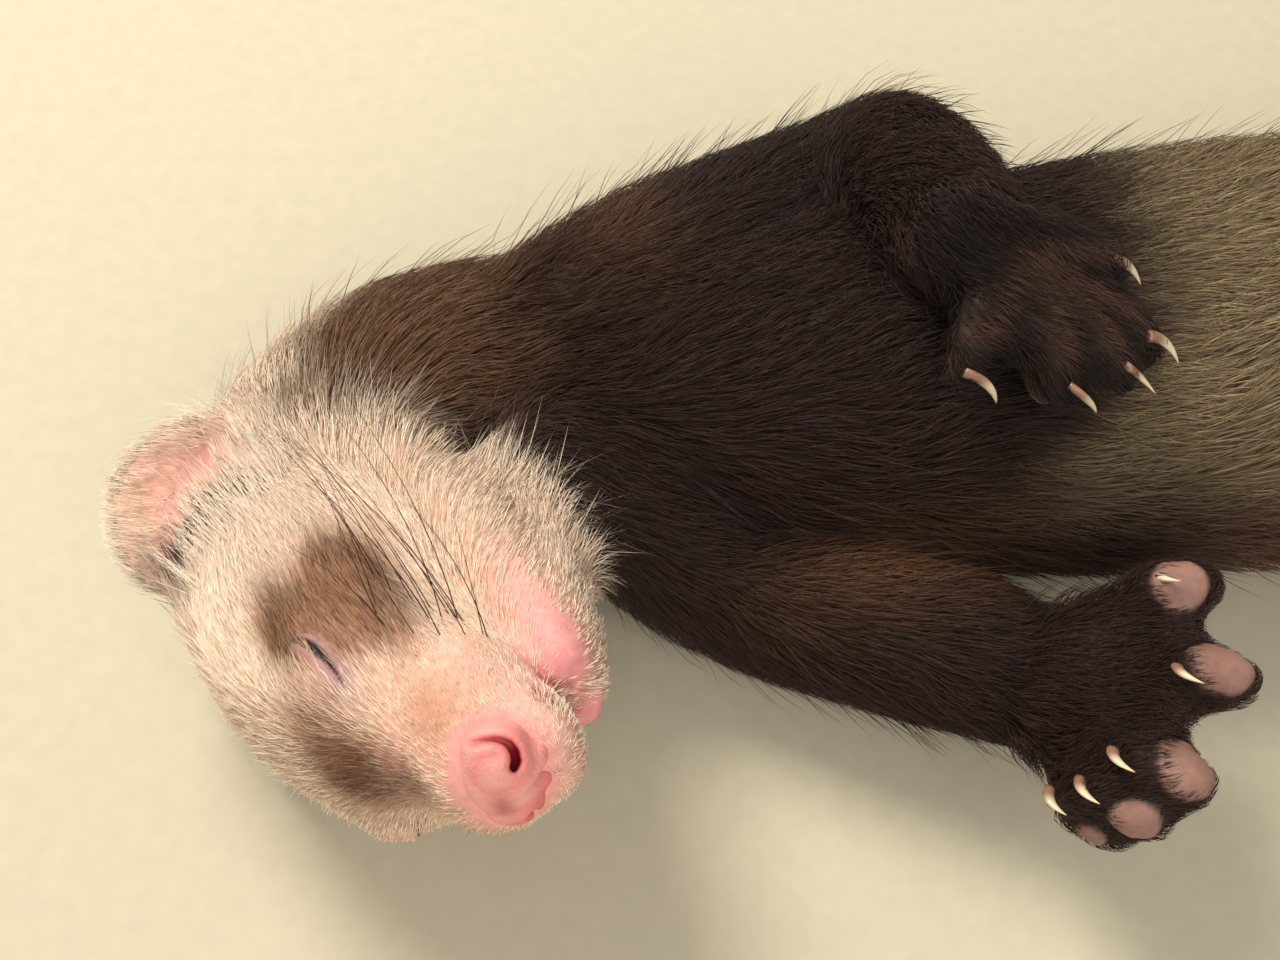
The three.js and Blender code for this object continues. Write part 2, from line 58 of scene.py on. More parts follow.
HEAD_SCALE = 1.1
HEAD_CENTRE = np.array([-34.4, -27.8, 30.0])
EYE_AT = (10.8, 9.4, 6.6)
EAR_ROOT = np.array([-21, 17.8, 3.2])


def unit(v):
    v = np.asarray(v, float)
    return v / np.maximum(np.linalg.norm(v, axis=-1, keepdims=True), 1e-9)


def norms(v):
    return np.linalg.norm(v, axis=-1)


def dots(a, b):
    return np.einsum("ij,ij->i", a, b)


FORWARD = unit([0.562, -0.612, 0.555])
LEFT = np.array([-0.3, 0.472, 0.828])
LEFT = unit(LEFT - LEFT.dot(FORWARD) * FORWARD)
CROWN = np.cross(FORWARD, LEFT)
HEAD_AXES = np.stack([FORWARD, LEFT, CROWN])


def in_head(f, l, u):
    """The design point that is f forward, l left and u up in head units."""
    return HEAD_CENTRE + HEAD_SCALE * (f * FORWARD + l * LEFT + u * CROWN)


def turned(f, l, u):
    return unit(f * FORWARD + l * LEFT + u * CROWN)


def ear_axes(sign):
    """Along the ear's rim, out from the head and out of the cup, for the left (1) or right (-1) ear."""
    along, out = turned(0.3, -0.4 * sign, 0.8), turned(-0.5, 0.42 * sign, 0.75)
    return along, out, unit(np.cross(out, along)) * sign


eye_low, eye_high = (np.array(corner) * 1000 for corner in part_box("eye_left"))
SHIFT = (eye_low + eye_high) / 2 - in_head(*EYE_AT)

# Each part of flesh: where its lie starts and ends, how deep the coat is over the skin, the length,
# width and number per square millimetre of its hairs, and where its unwrap goes on the map (the low
# corner of its cell, then its size).
PARTS = {
    "head": (in_head(32, 0, 0), in_head(-32, 0, 0), 1.2, 5.2, 0.24, 3.0, (0.00, 0.50, 0.36, 0.30)),
    "lower_jaw": (in_head(26, 0, -12), in_head(-9, 0, -18), 1.3, 5.0, 0.24, 3.0, (0.37, 0.50, 0.20, 0.30)),
    "ear_left": (
        in_head(-21, 17.8, 3.2), in_head(-27, 22, 14), 0.45, 3.2, 0.2, 3.0, (0.58, 0.50, 0.16, 0.14)),
    "ear_right": (
        in_head(-21, -17.8, 3.2), in_head(-27, -22, 14), 0.45, 3.2, 0.2, 3.0, (0.58, 0.66, 0.16, 0.14)),
    "neck_front": ((-50, -10, 17), (-38, 20, 19), 2.6, 9.5, 0.32, 1.7, (0.75, 0.50, 0.24, 0.14)),
    "neck_base": ((-38, 21, 19), (-5, 21, 20), 3.0, 11.0, 0.34, 1.6, (0.75, 0.66, 0.24, 0.14)),
    "chest": ((-8, 20, 20), (70, 25, 33), 3.2, 11.0, 0.36, 1.3, (0.00, 0.00, 0.30, 0.48)),
    "belly": ((70, 25, 33), (150, 31, 33), 2.8, 11.0, 0.36, 0.8, (0.31, 0.00, 0.30, 0.24)),
    "hips": ((150, 31, 33), (204, 30, 16), 3.6, 13.0, 0.42, 0.8, (0.31, 0.25, 0.30, 0.24)),
    "tail_1": ((196, 30, 15), (250, 20, 11), 5.0, 20.0, 0.5, 0.9, (0.62, 0.33, 0.18, 0.16)),
    "tail_2": ((250, 20, 11), (292, 5, 10.6), 5.6, 22.0, 0.5, 0.9, (0.81, 0.33, 0.18, 0.16)),
    "tail_3": ((292, 5, 10.6), (331, -4, 5), 4.4, 20.0, 0.5, 1.2, (0.81, 0.17, 0.18, 0.16)),
    "upper_arm_left": ((-12, 27, 28), (37, 57.5, 27), 2.6, 10.0, 0.34, 1.5, (0.00, 0.82, 0.20, 0.17)),
    "forearm_left": ((38, 62, 25), (43.5, 22, 55), 2.0, 8.5, 0.32, 1.7, (0.21, 0.82, 0.20, 0.17)),
    "upper_arm_right": ((-14, 8, 27), (14, -8.5, 14), 2.4, 10.0, 0.34, 1.5, (0.42, 0.82, 0.18, 0.17)),
    "forearm_right": ((12, -8, 14.5), (50, -24, 20.5), 2.0, 9.0, 0.32, 1.7, (0.61, 0.82, 0.20, 0.17)),
    "forepaw_left": ((43.5, 21.2, 57), (63, 6.7, 53), 0.35, 4.2, 0.24, 2.6, (0.82, 0.82, 0.17, 0.08)),
    "forepaw_right": (
        (51.5, -25.5, 20.5), (70.5, -32.5, 35.5), 0.35, 4.2, 0.24, 2.6, (0.82, 0.91, 0.17, 0.08)),
    "thigh_left": ((186, 38, 21), (147, 77, 25), 3.0, 11.0, 0.4, 0.8, (0.62, 0.00, 0.18, 0.16)),
    "thigh_right": ((186, 24, 21), (150, -17, 24), 3.0, 11.0, 0.4, 0.8, (0.81, 0.00, 0.18, 0.16)),
    "shank_left": ((146, 80, 23), (194, 85, 8), 1.9, 8.0, 0.34, 1.2, (0.62, 0.17, 0.09, 0.15)),
    "shank_right": ((149, -20, 22), (197, -29, 8), 1.9, 8.0, 0.34, 1.2, (0.71, 0.17, 0.09, 0.15)),
    "hindfoot_left": ((196, 85, 8.6), (226, 85, 6), 0.35, 4.2, 0.26, 1.8, (0.31, 0.50, 0.05, 0.30)),
    "hindfoot_right": ((199, -29, 8.6), (229, -29, 6), 0.35, 4.2, 0.26, 1.8, (0.31, 0.50, 0.05, 0.30)),
}
PART_NAMES = list(PARTS)
STARTS, ENDS = (np.array([PARTS[name][i] for name in PART_NAMES], float) for i in (0, 1))
DEPTHS, LENGTHS, WIDTHS, DENSITIES, CELLS = (
    np.array([PARTS[name][i] for name in PART_NAMES]) for i in (2, 3, 4, 5, 6))


# ---- fields ----


def blended(corner, t):
    """The values that corner gives for the eight corners of a grid cell, blended by the place t in it."""
    total = 0
    for dx in (0, 1):
        for dy in (0, 1):
            for dz in (0, 1):
                near = corner(dx, dy, dz)
                share = (
                    (t[:, 0] if dx else 1 - t[:, 0])
                    * (t[:, 1] if dy else 1 - t[:, 1])
                    * (t[:, 2] if dz else 1 - t[:, 2])
                )
                total = total + (near * share[:, None] if near.ndim > 1 else near * share)
    return total


class Field:
    """Values at the points of a regular grid, whose first point is low."""

    def __init__(self, low, spacing, values):
        self.low, self.spacing, self.values = np.asarray(low, float), spacing, values

    def at(self, p):
        """The values at points p, between those of the eight grid points round each."""
        shape = np.array(self.values.shape[:3])
        q = np.clip((p - self.low) / self.spacing, 0, shape - 1.001)
        i = q.astype(np.int64)
        return blended(lambda dx, dy, dz: self.values[i[:, 0] + dx, i[:, 1] + dy, i[:, 2] + dz], q - i)

    def slope(self, p, step=0.6):
        """The unit direction in which the values grow, at points p."""
        parts = []
        for axis in range(3):
            move = np.zeros(3)
            move[axis] = step
            parts.append(self.at(p + move) - self.at(p - move))
        return unit(np.stack(parts, axis=-1))


def blurred(values, sigma):
    """values smoothed by a bell of sigma grid steps along its first three axes."""
    reach = max(1, int(math.ceil(2.5 * sigma)))
    bell = np.exp(-0.5 * (np.arange(-reach, reach + 1) / sigma) ** 2).astype(np.float32)
    bell /= bell.sum()
    for axis in range(3):
        count = values.shape[axis]
        pad = [(0, 0)] * values.ndim
        pad[axis] = (reach, reach)
        wide = np.pad(values, pad, mode="edge")
        total = np.zeros_like(values)
        for k, weight in enumerate(bell):
            cut = [slice(None)] * values.ndim
            cut[axis] = slice(k, k + count)
            total += weight * wide[tuple(cut)]
        values = total
    return values


def node_mesh(name):
    """The corners and triangles of a CAD node, in the design frame."""
    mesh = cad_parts[name].data
    mesh.calc_loop_triangles()
    points = np.empty(len(mesh.vertices) * 3, np.float32)
    mesh.vertices.foreach_get("co", points)
    triangles = np.empty(len(mesh.loop_triangles) * 3, np.int32)
    mesh.loop_triangles.foreach_get("vertices", triangles)
    return points.reshape(-1, 3) * 1000 - SHIFT.astype(np.float32), triangles.reshape(-1, 3).astype(np.uint32)


def distances(points, triangles, quads, spacing, band):
    """A grid of distances from a closed surface, negative inside, and the index of its first point."""
    grid = vdb.FloatGrid.createLevelSetFromPolygons(
        points=np.ascontiguousarray(points, np.float32),
        triangles=triangles,
        quads=quads,
        transform=vdb.createLinearTransform(voxelSize=spacing),
        halfWidth=band / spacing,
    )
    low, high = grid.evalActiveVoxelBoundingBox()
    values = np.empty([high[i] - low[i] + 1 for i in range(3)], np.float32)
    grid.copyToArray(values, ijk=low)
    return np.array(low), values


def surface(values, low, spacing, level=0.0):
    """The points, triangles and quads of the surface where values pass level."""
    grid = vdb.FloatGrid(BAND)
    grid.copyFromArray(np.ascontiguousarray(values, np.float32), ijk=tuple(int(i) for i in low))
    grid.transform = vdb.createLinearTransform(voxelSize=spacing)
    return grid.convertToPolygons(isovalue=level)


def joined(a, b, reach):
    """The union of two fields, with a soft valley where they meet."""
    valley = np.maximum(reach - np.abs(a - b), 0)
    return np.minimum(a, b) - valley**2 / (4 * reach)


def block(first, last):
    """The part of a grid from its index first to last."""
    return tuple(slice(a, b) for a, b in zip(first, last))


def flesh_fields():
    """Distances from the body, the head, the ears and the eyes at FINE, and the nearest part at COARSE."""
    found = [distances(*node_mesh(name), None, FINE, BAND) for name in PART_NAMES + ["eye_left", "eye_right"]]
    low = np.min([f[0] for f in found], axis=0) - 4
    high = np.max([f[0] + f[1].shape for f in found], axis=0) + 4
    low = low // STEP * STEP
    size = (high - low + STEP - 1) // STEP * STEP
    body, head, ears, eyes, nearest = (np.full(size, BAND, np.float32) for _ in range(5))
    labels = np.zeros(size, np.int16)
    for index, (start, values) in enumerate(found):
        at = block(start - low, start - low + values.shape)
        if index >= len(PART_NAMES):
            eyes[at] = np.minimum(eyes[at], values)
            head[at] = np.minimum(head[at], values)
            continue
        closer = values < nearest[at]
        nearest[at] = np.where(closer, values, nearest[at])
        labels[at] = np.where(closer, index, labels[at])
        name = PART_NAMES[index]
        kind = ears if name.startswith("ear") else head if name in ("head", "lower_jaw") else body
        kind[at] = np.minimum(kind[at], values)
    return low, body - SEAM, head - SEAM, ears, eyes, labels[::STEP, ::STEP, ::STEP]


low, body, head_part, ears, eyes, labels = flesh_fields()


def measured_again(values, level=0.0, corner=low):
    """True distances from the surface where values, a part of the FINE grid from corner, pass level."""
    start, found = distances(*surface(values, corner, FINE, level), FINE, BAND)
    first = np.maximum(start, corner)
    last = np.minimum(start + found.shape, corner + values.shape)
    whole = np.full(values.shape, BAND, np.float32)
    whole[block(first - corner, last - corner)] = found[block(first - start, last - start)]
    return whole


body = measured_again(joined(body, head_part, 8.0))


def part_field(table, sigma):
    """A field that takes a value for each part, smoothed over sigma millimetres."""
    values = np.asarray(table, np.float32)[labels]
    return Field(low * FINE, COARSE, blurred(values, sigma / COARSE))


depth_field = part_field(DEPTHS, 4.0)
length_field = part_field(LENGTHS, 4.0)
width_field = part_field(WIDTHS, 3.0)
density_field = part_field(DENSITIES, 3.0)
lie_field = part_field(unit(ENDS - STARTS), 9.0)
paw_field = part_field([float("paw" in name or "foot" in name) for name in PART_NAMES], 3.0)


def widened(field):
    """A COARSE field's values at FINE."""
    return blurred(np.repeat(np.repeat(np.repeat(field.values, STEP, 0), STEP, 1), STEP, 2), 2.0)


def head_block(f, l, u, reach):
    """The part of the FINE grid round a place on the head, and its points in head units."""
    middle = np.round(in_head(f, l, u) / FINE).astype(int) - low
    first = np.maximum(middle - int(reach / FINE), 0)
    last = np.minimum(middle + int(reach / FINE), body.shape)
    at = np.stack(np.meshgrid(*(np.arange(a, b) for a, b in zip(first, last)), indexing="ij"), axis=-1)
    return block(first, last), ((at + low) * FINE - HEAD_CENTRE) @ HEAD_AXES.T / HEAD_SCALE


def egg(q, centre, radii):
    """Roughly the distance, in millimetres, from an ellipsoid given in head units."""
    r = (q - np.array(centre)) / np.array(radii)
    size = norms(r)
    slope = norms(r / np.array(radii)) / np.maximum(size, 1e-6)
    return (size - 1) / np.maximum(slope, 1e-6) * HEAD_SCALE


def close_toes(name, closed):
    """Fills the clefts between a paw's toes, where they are narrower than twice closed, with webbing."""
    share = part_field([float(part == name) for part in PART_NAMES], 3.0)
    cells = np.argwhere(share.values > 0.3)
    first = np.maximum(cells.min(axis=0) - WEB_MARGIN, 0)
    last = np.minimum(cells.max(axis=0) + 1 + WEB_MARGIN, share.values.shape)
    share.values = share.values[block(first, last)]
    webbed = np.clip(widened(share) * 2 - 0.6, 0, 1)
    paw = body[block(first * STEP, last * STEP)]
    paw += (np.minimum(paw, measured_again(paw, closed, low + first * STEP) + closed) - paw) * webbed


WEB_MARGIN = 7  # COARSE steps round a paw, which is more than BAND
CONCHA = np.array([-18.5, 21.0, 1.0])  # the hollow of the head in front of the ear's cup
depth = widened(depth_field) * np.clip(ears / 5.0, 0.0, 1) * np.clip((eyes - 0.5) / 5.0, 0.0, 1)
paws = np.clip(widened(paw_field) * 2 - 0.5, 0, 1)
close_toes("forepaw_left", 1.7)
close_toes("forepaw_right", 4.2)
skin_values = blurred(blurred(body, 1.2) + depth + SEAM * 0.6, 0.8)
skin_values = skin_values * (1 - paws) + (blurred(body, 0.7) + depth + SEAM * 0.6) * paws

# The muzzle's end, the ears and the throat
cut, q = head_block(30, 0, -3, 17)
muzzle = joined(egg(q, (27.4, 0, 0.2), (5.6, 6.8, 5.6)), egg(q, (30.7, 0, -5.1), (4.6, 6.2, 4.0)), 3.0)
skin_values[cut] = joined(skin_values[cut], muzzle.astype(np.float32), 3.5)
ears = blurred(ears, 0.7) + 0.15
for sign in (1, -1):
    cut, q = head_block(-16, 21 * sign, 2, 13)
    hole = egg(q, (CONCHA[0], (CONCHA[1] + 2.2) * sign, CONCHA[2]), (6.2, 4.4, 7.6))
    skin_values[cut] = np.maximum(skin_values[cut], -hole.astype(np.float32))
for sign in (1, -1):
    along, out, opening = ear_axes(sign)
    cut, q = head_block(-24, 21 * sign, 9, 17)
    r = q - EAR_ROOT * (1, sign, 1)
    flat = [r @ (HEAD_AXES @ axis) for axis in (along, unit(np.cross(along, opening)) * sign, opening)]
    cup = egg(np.stack(flat, axis=-1), (0, 5.5, 2.2), (10.8, 8.2, 4.9))
    ears[cut] = np.maximum(ears[cut], -cup)
    if sign < 0:
        ears[cut] = np.maximum(ears[cut], (r @ (HEAD_AXES @ out) - 6.5) * HEAD_SCALE)
skin_values = joined(skin_values, ears, 1.6)
cut, q = head_block(-18, 11, -20, 16)
skin_values[cut] = joined(skin_values[cut], egg(q, (-17.5, 9, -16.5), (9, 8.5, 8)).astype(np.float32), 5.0)
skin_field = Field(low * FINE, FINE, skin_values)
cavity_field = Field(low * FINE, FINE * 2, blurred(skin_values[::2, ::2, ::2], 2.0))


# ---- meshes ----


def new_object(name, points, faces):
    """A mesh object in the row frame from points in the design frame and arrays of faces."""
    mesh = bpy.data.meshes.new(name)
    points = (np.asarray(points) + SHIFT) / 1000
    faces = [np.asarray(f) for f in faces if len(f)]
    corners = np.concatenate([f.ravel() for f in faces]).astype(np.int32)
    sizes = np.concatenate([np.full(len(f), f.shape[1]) for f in faces]).astype(np.int32)
    mesh.vertices.add(len(points))
    mesh.vertices.foreach_set("co", points.astype(np.float32).ravel())
    mesh.loops.add(len(corners))
    mesh.loops.foreach_set("vertex_index", corners)
    mesh.polygons.add(len(sizes))
    mesh.polygons.foreach_set("loop_start", np.concatenate([[0], np.cumsum(sizes)[:-1]]).astype(np.int32))
    mesh.update(calc_edges=True)
    mesh.polygons.foreach_set("use_smooth", np.full(len(sizes), True))
    made = bpy.data.objects.new(name, mesh)
    bpy.context.scene.collection.objects.link(made)
    return made


def paint(made, colours):
    """Keeps a colour for each corner point of a mesh, under the name that the materials look for."""
    layer = made.data.color_attributes.new("markings_and_painted_light", "FLOAT_COLOR", "POINT")
    wide = np.concatenate([colours, np.ones((len(colours), 1))], axis=1)
    layer.data.foreach_set("color", wide.astype(np.float32).ravel())


def kept(points, faces, keep):
    """The faces whose middle is kept, with the points that they use."""
    faces = faces[keep(points[faces].mean(axis=1))]
    used = np.unique(faces)
    place = np.full(len(points), -1)
    place[used] = np.arange(len(used))
    return points[used], place[faces]


# ---- markings and painted light ----


def srgb(*colour):
    c = np.array(colour, float) / 255
    return np.where(c <= 0.04045, c / 12.92, ((c + 0.055) / 1.055) ** 2.4)


CREAM = srgb(252, 236, 218)
TAN = srgb(226, 168, 108)
MASK = srgb(168, 120, 80)
MASK_DARK = srgb(78, 54, 40)
SABLE = srgb(50, 31, 24)
BROWN = srgb(132, 98, 72)
BELLY = srgb(150, 134, 104)
FACE_SKIN = srgb(240, 172, 152)
PINK = srgb(228, 148, 148)
LIP_RED = srgb(158, 34, 46)
EAR_PINK = srgb(224, 166, 150)
EAR_DEEP = srgb(142, 78, 62)
LID = srgb(180, 146, 148)
SLIT = srgb(22, 12, 14)
PAD = srgb(146, 110, 98)
# painted light on the ridges of the left forepaw's toes
TOE_RIDGE_LIGHT = srgb(108, 78, 66)
NOSE = srgb(232, 158, 150)

# Where the head's marks are, in head units: forward, left, up
LAVENDER = np.array([16.6, 10.4, 7.7])
EYE_SPOT = np.array([13.3, 12.7, 7.9])
EYE_LINE = unit([6.5, -3.7, -1.1])
MOUTH_LINE = np.array([
    (30.0, 0.0, -8.8), (29.0, 2.6, -9.0), (26.5, 5.4, -10.0), (22.7, 7.8, -11.2), (16.7, 10.3, -13.2),
    (9.8, 12.3, -14.7), (4.0, 13.8, -16.2)])
LIP_BAND = np.array([
    (27.0, 3.6, -12.4), (25.6, 5.6, -13.0), (22.4, 7.4, -13.4), (17.4, 9.4, -13.2), (11.0, 11.8, -13.6)])
NOTCH = np.array([
    (31.4, 5.6, -6.9), (32.0, 4.8, -7.4), (32.0, 3.8, -8.0), (31.0, 2.4, -8.8), (28.0, -2.0, -10.2)])
NOSE_AT, NOSE_RADII = (32.6, 0, 0), (5.2, 6.4, 5.0)
NOSE_PIVOT, NOSE_PLACE = np.array([33.5, 3.5, 0]), np.array([33.4, 4.0, 0.3])
NOSE_SIZE, NOSE_TURN = 0.86, math.radians(12)
FOLLICLES = [(29.2, 9.7, 0.6), (27.8, 9.1, 3.3), (29.3, 8.5, 2.6), (27.0, 10.4, 1.6), (26.0, 9.6, 4.0)]
TOE_PADS = {
    "forepaw_left": [
        (59, 18.5, 52.2), (62.5, 7.5, 50.9), (58.8, 3.3, 51), (51.6, 2.1, 50.8), (41.7, 5.4, 50.6)],
    "forepaw_right": [
        (68.8, -20.9, 39.6), (71.4, -32.2, 41.2), (65.2, -44.9, 40.2), (59.2, -50.6, 35.2),
        (55.5, -50.5, 28.0)],
    "hindfoot_left": [
        (235.6, 87.3, 10.6), (240.1, 83.3, 11.2), (242.4, 79.3, 11.5), (239.2, 76, 11), (233.9, 73.2, 10.3)],
    "hindfoot_right": [
        (235.8, -14.1, 11), (241.3, -16.5, 11.9), (244.7, -19.5, 12.5), (242.8, -23.7, 12.1),
        (238.6, -28, 11.5)],
}
TURNED_SIZES = [0.85, 1.0, 1.0, 0.72, 0.5]  # of the toe pads of the paw whose sole is turned up
SOLE_PADS = [(52, 14.3, 51.1), (64.4, -29.2, 24.8), (222.7, 81.8, 7.9), (225.3, -23.6, 8.5)]
DORSAL = {"forepaw_left": (0.3, -0.3, 0.9), "forepaw_right": (-0.93, 0.26, 0.14),
          "hindfoot_left": (0.05, 0, 1), "hindfoot_right": (0.05, 0, 1)}


# Where the mask and its darker places are: weight, centre and radii in head units
MASK_AREAS = [
    (1.25, (10.5, 15.5, 1.0), (9.5, 6, 6.5)), (1.1, (8.5, 13.5, 9.0), (5.5, 5, 3.6)),
    (1.1, (18.0, -1.0, 9.8), (7.5, 6, 5.5)), (0.45, (12.5, 5.5, 13), (5, 4, 4)),
    (0.5, (19, 12.5, 0.5), (6, 4, 4)), (1, (14.6, 13.6, 4.8), (3, 3, 2.6))]
MASK_DARK_AREAS = [
    (1, (5.6, 16.6, 7.6), (3.6, 4, 2.6)), (0.9, (14.8, 14.2, -2.6), (4.5, 3, 2.2)),
    (1, (18, -1.5, 10.5), (6.5, 3.6, 3)), (0.7, (10, 13, 10.5), (4, 3, 1.6)),
    (0.7, (6.5, 18.5, 0.5), (4, 3, 3)), (0.8, (25, -1.5, 7.5), (4, 3, 2))]
PAINTED_SHEEN_SPOTS = [((32, -12, 26), (16, 7, 9)), ((-6, 34, 36), (8, 9, 9))]  # where a painted sheen lightens the dark coat to brown, over a thin parting in it


def smooth(x, a, b):
    """0 where x is a, rising to 1 where it is b."""
    t = np.clip((x - a) / (b - a), 0, 1)
    return t * t * (3 - 2 * t)


def fall(x, a, b):
    """1 where x is a, falling to 0 where it is b."""
    return 1 - smooth(x, a, b)


def bell(distance, width):
    """1 at no distance, falling to 0 over a few widths."""
    return np.exp(-((distance / width) ** 2))


def blob(q, centre, radii):
    """1 at centre, falling to 0 beyond radii."""
    return np.exp(-1.2 * (((q - centre) / radii) ** 2).sum(axis=-1))


def blobs(q, *rows):
    """The sum of blobs, each with its weight, centre and radii."""
    return sum(weight * blob(q, centre, radii) for weight, centre, radii in rows)


def to_path(q, path):
    """How far points are from a line of points, and how far along it the nearest place is, 0 to 1."""
    best = np.full(len(q), 1e9)
    where = np.zeros(len(q))
    count = len(path) - 1
    for k in range(count):
        a, b = path[k], path[k + 1]
        t = np.clip((q - a) @ (b - a) / ((b - a) @ (b - a)), 0, 1)
        d = norms(q - a - t[:, None] * (b - a))
        closer = d < best
        best = np.where(closer, d, best)
        where = np.where(closer, (k + t) / count, where)
    return best, where


def head_points(p):
    """Design points in head units: forward, left, up."""
    return (p - HEAD_CENTRE) @ HEAD_AXES.T / HEAD_SCALE


def out_of_head(q):
    """Head points as design points."""
    return HEAD_CENTRE + HEAD_SCALE * (q @ HEAD_AXES)


def nose_points(q):
    """Head points in the nose's own frame, which is turned to the ferret's right."""
    c, s = math.cos(NOSE_TURN) / NOSE_SIZE, math.sin(NOSE_TURN) / NOSE_SIZE
    x, y, z = (q - NOSE_PLACE).T
    return NOSE_PIVOT + np.stack([c * x - s * y, s * x + c * y, z / NOSE_SIZE], axis=1)


def nose_out(q):
    """Points of the nose's own frame as head points."""
    c, s = math.cos(NOSE_TURN) * NOSE_SIZE, math.sin(NOSE_TURN) * NOSE_SIZE
    x, y, z = (q - NOSE_PIVOT).T
    return NOSE_PLACE + np.stack([c * x + s * y, c * y - s * x, z * NOSE_SIZE], axis=1)


def nose_far(q):
    """Roughly how far head points are from the nose's surface."""
    return egg(nose_points(q), NOSE_AT, NOSE_RADII) * NOSE_SIZE


def mirrored(q):
    """Head points folded onto the left side."""
    return np.stack([q[:, 0], np.abs(q[:, 1]), q[:, 2]], axis=1)


class Lattice:
    """Three smooth random values at each point of space, repeated every REPEAT cells of a size."""

    REPEAT = 32

    def __init__(self, seed, size):
        draw = np.random.default_rng(seed)
        self.size, self.values = size, draw.uniform(-1, 1, (self.REPEAT,) * 3 + (3,))

    def at(self, p):
        q = p / self.size
        i = np.floor(q).astype(np.int64)
        t = q - i
        return blended(
            lambda dx, dy, dz: self.values[tuple((i + (dx, dy, dz)).T % self.REPEAT)], t * t * (3 - 2 * t))


patchy = Lattice(3, 6.0)
flow = Lattice(5, 5.0)
ripple = Lattice(8, 13.0)
EARS = ("ear_left", "ear_right")
FACE = ("head", "lower_jaw", *EARS)


def hollow(p):
    """0 where the skin is flat or stands out, towards 1 where it is hollow."""
    return smooth(-cavity_field.at(p), 0.06, 0.55)


def share_of(*parts, sigma=3.0):
    """A field that is 1 in some parts and 0 in the others, smoothed over sigma millimetres."""
    return part_field([1.0 if name in parts else 0.0 for name in PART_NAMES], sigma)


head_share = share_of(*FACE)
ear_share = share_of(*EARS, sigma=1.2)
LEGS = ("upper", "forearm", "forepaw", "shank", "hindfoot")
leg_share = share_of(*[name for name in PART_NAMES if name.split("_")[0] in LEGS], sigma=4.0)
jaw_share = share_of("lower_jaw", sigma=2.5)
left_paw = share_of("forepaw_left", sigma=1.5)


def ear_inside(p, n):
    """1 in the cup of an ear, 0 on its back and its rim."""
    q = head_points(p)
    total = np.zeros(len(p))
    for sign in (1, -1):
        along, out, opening = ear_axes(sign)
        mine = (q[:, 1] * sign > 0) & (ear_share.at(p) > 0.3)
        faces = smooth(n @ opening, 0.1, 0.45)
        r = p - in_head(*EAR_ROOT * (1, sign, 1))
        rim = np.einsum("ij,j->i", r, out)
        across = np.abs(np.einsum("ij,j->i", r, along))
        middle = fall(np.hypot(rim / 15.5, across / 13.5), 0.56, 0.8)
        total += np.where(mine, faces * middle, 0)
    before = norms((mirrored(q) - CONCHA) / np.array([6.6, 6.0, 7.8]))
    front = fall(before, 0.82, 1.08)
    return np.maximum(total, front)


def toe_ridge(p):
    """1 along the toes of the left forepaw, 0 in the grooves between them."""
    best = np.full(len(p), 99.0)
    for tip in TOE_PADS["forepaw_left"]:
        a, b = np.array([48.0, 17.0]), np.array(tip[:2]) + np.array([0, 0.5])
        t = np.clip((p[:, :2] - a) @ (b - a) / ((b - a) @ (b - a)), 0, 1)
        best = np.minimum(best, norms(p[:, :2] - a - t[:, None] * (b - a)))
    return bell(best, 1.3)


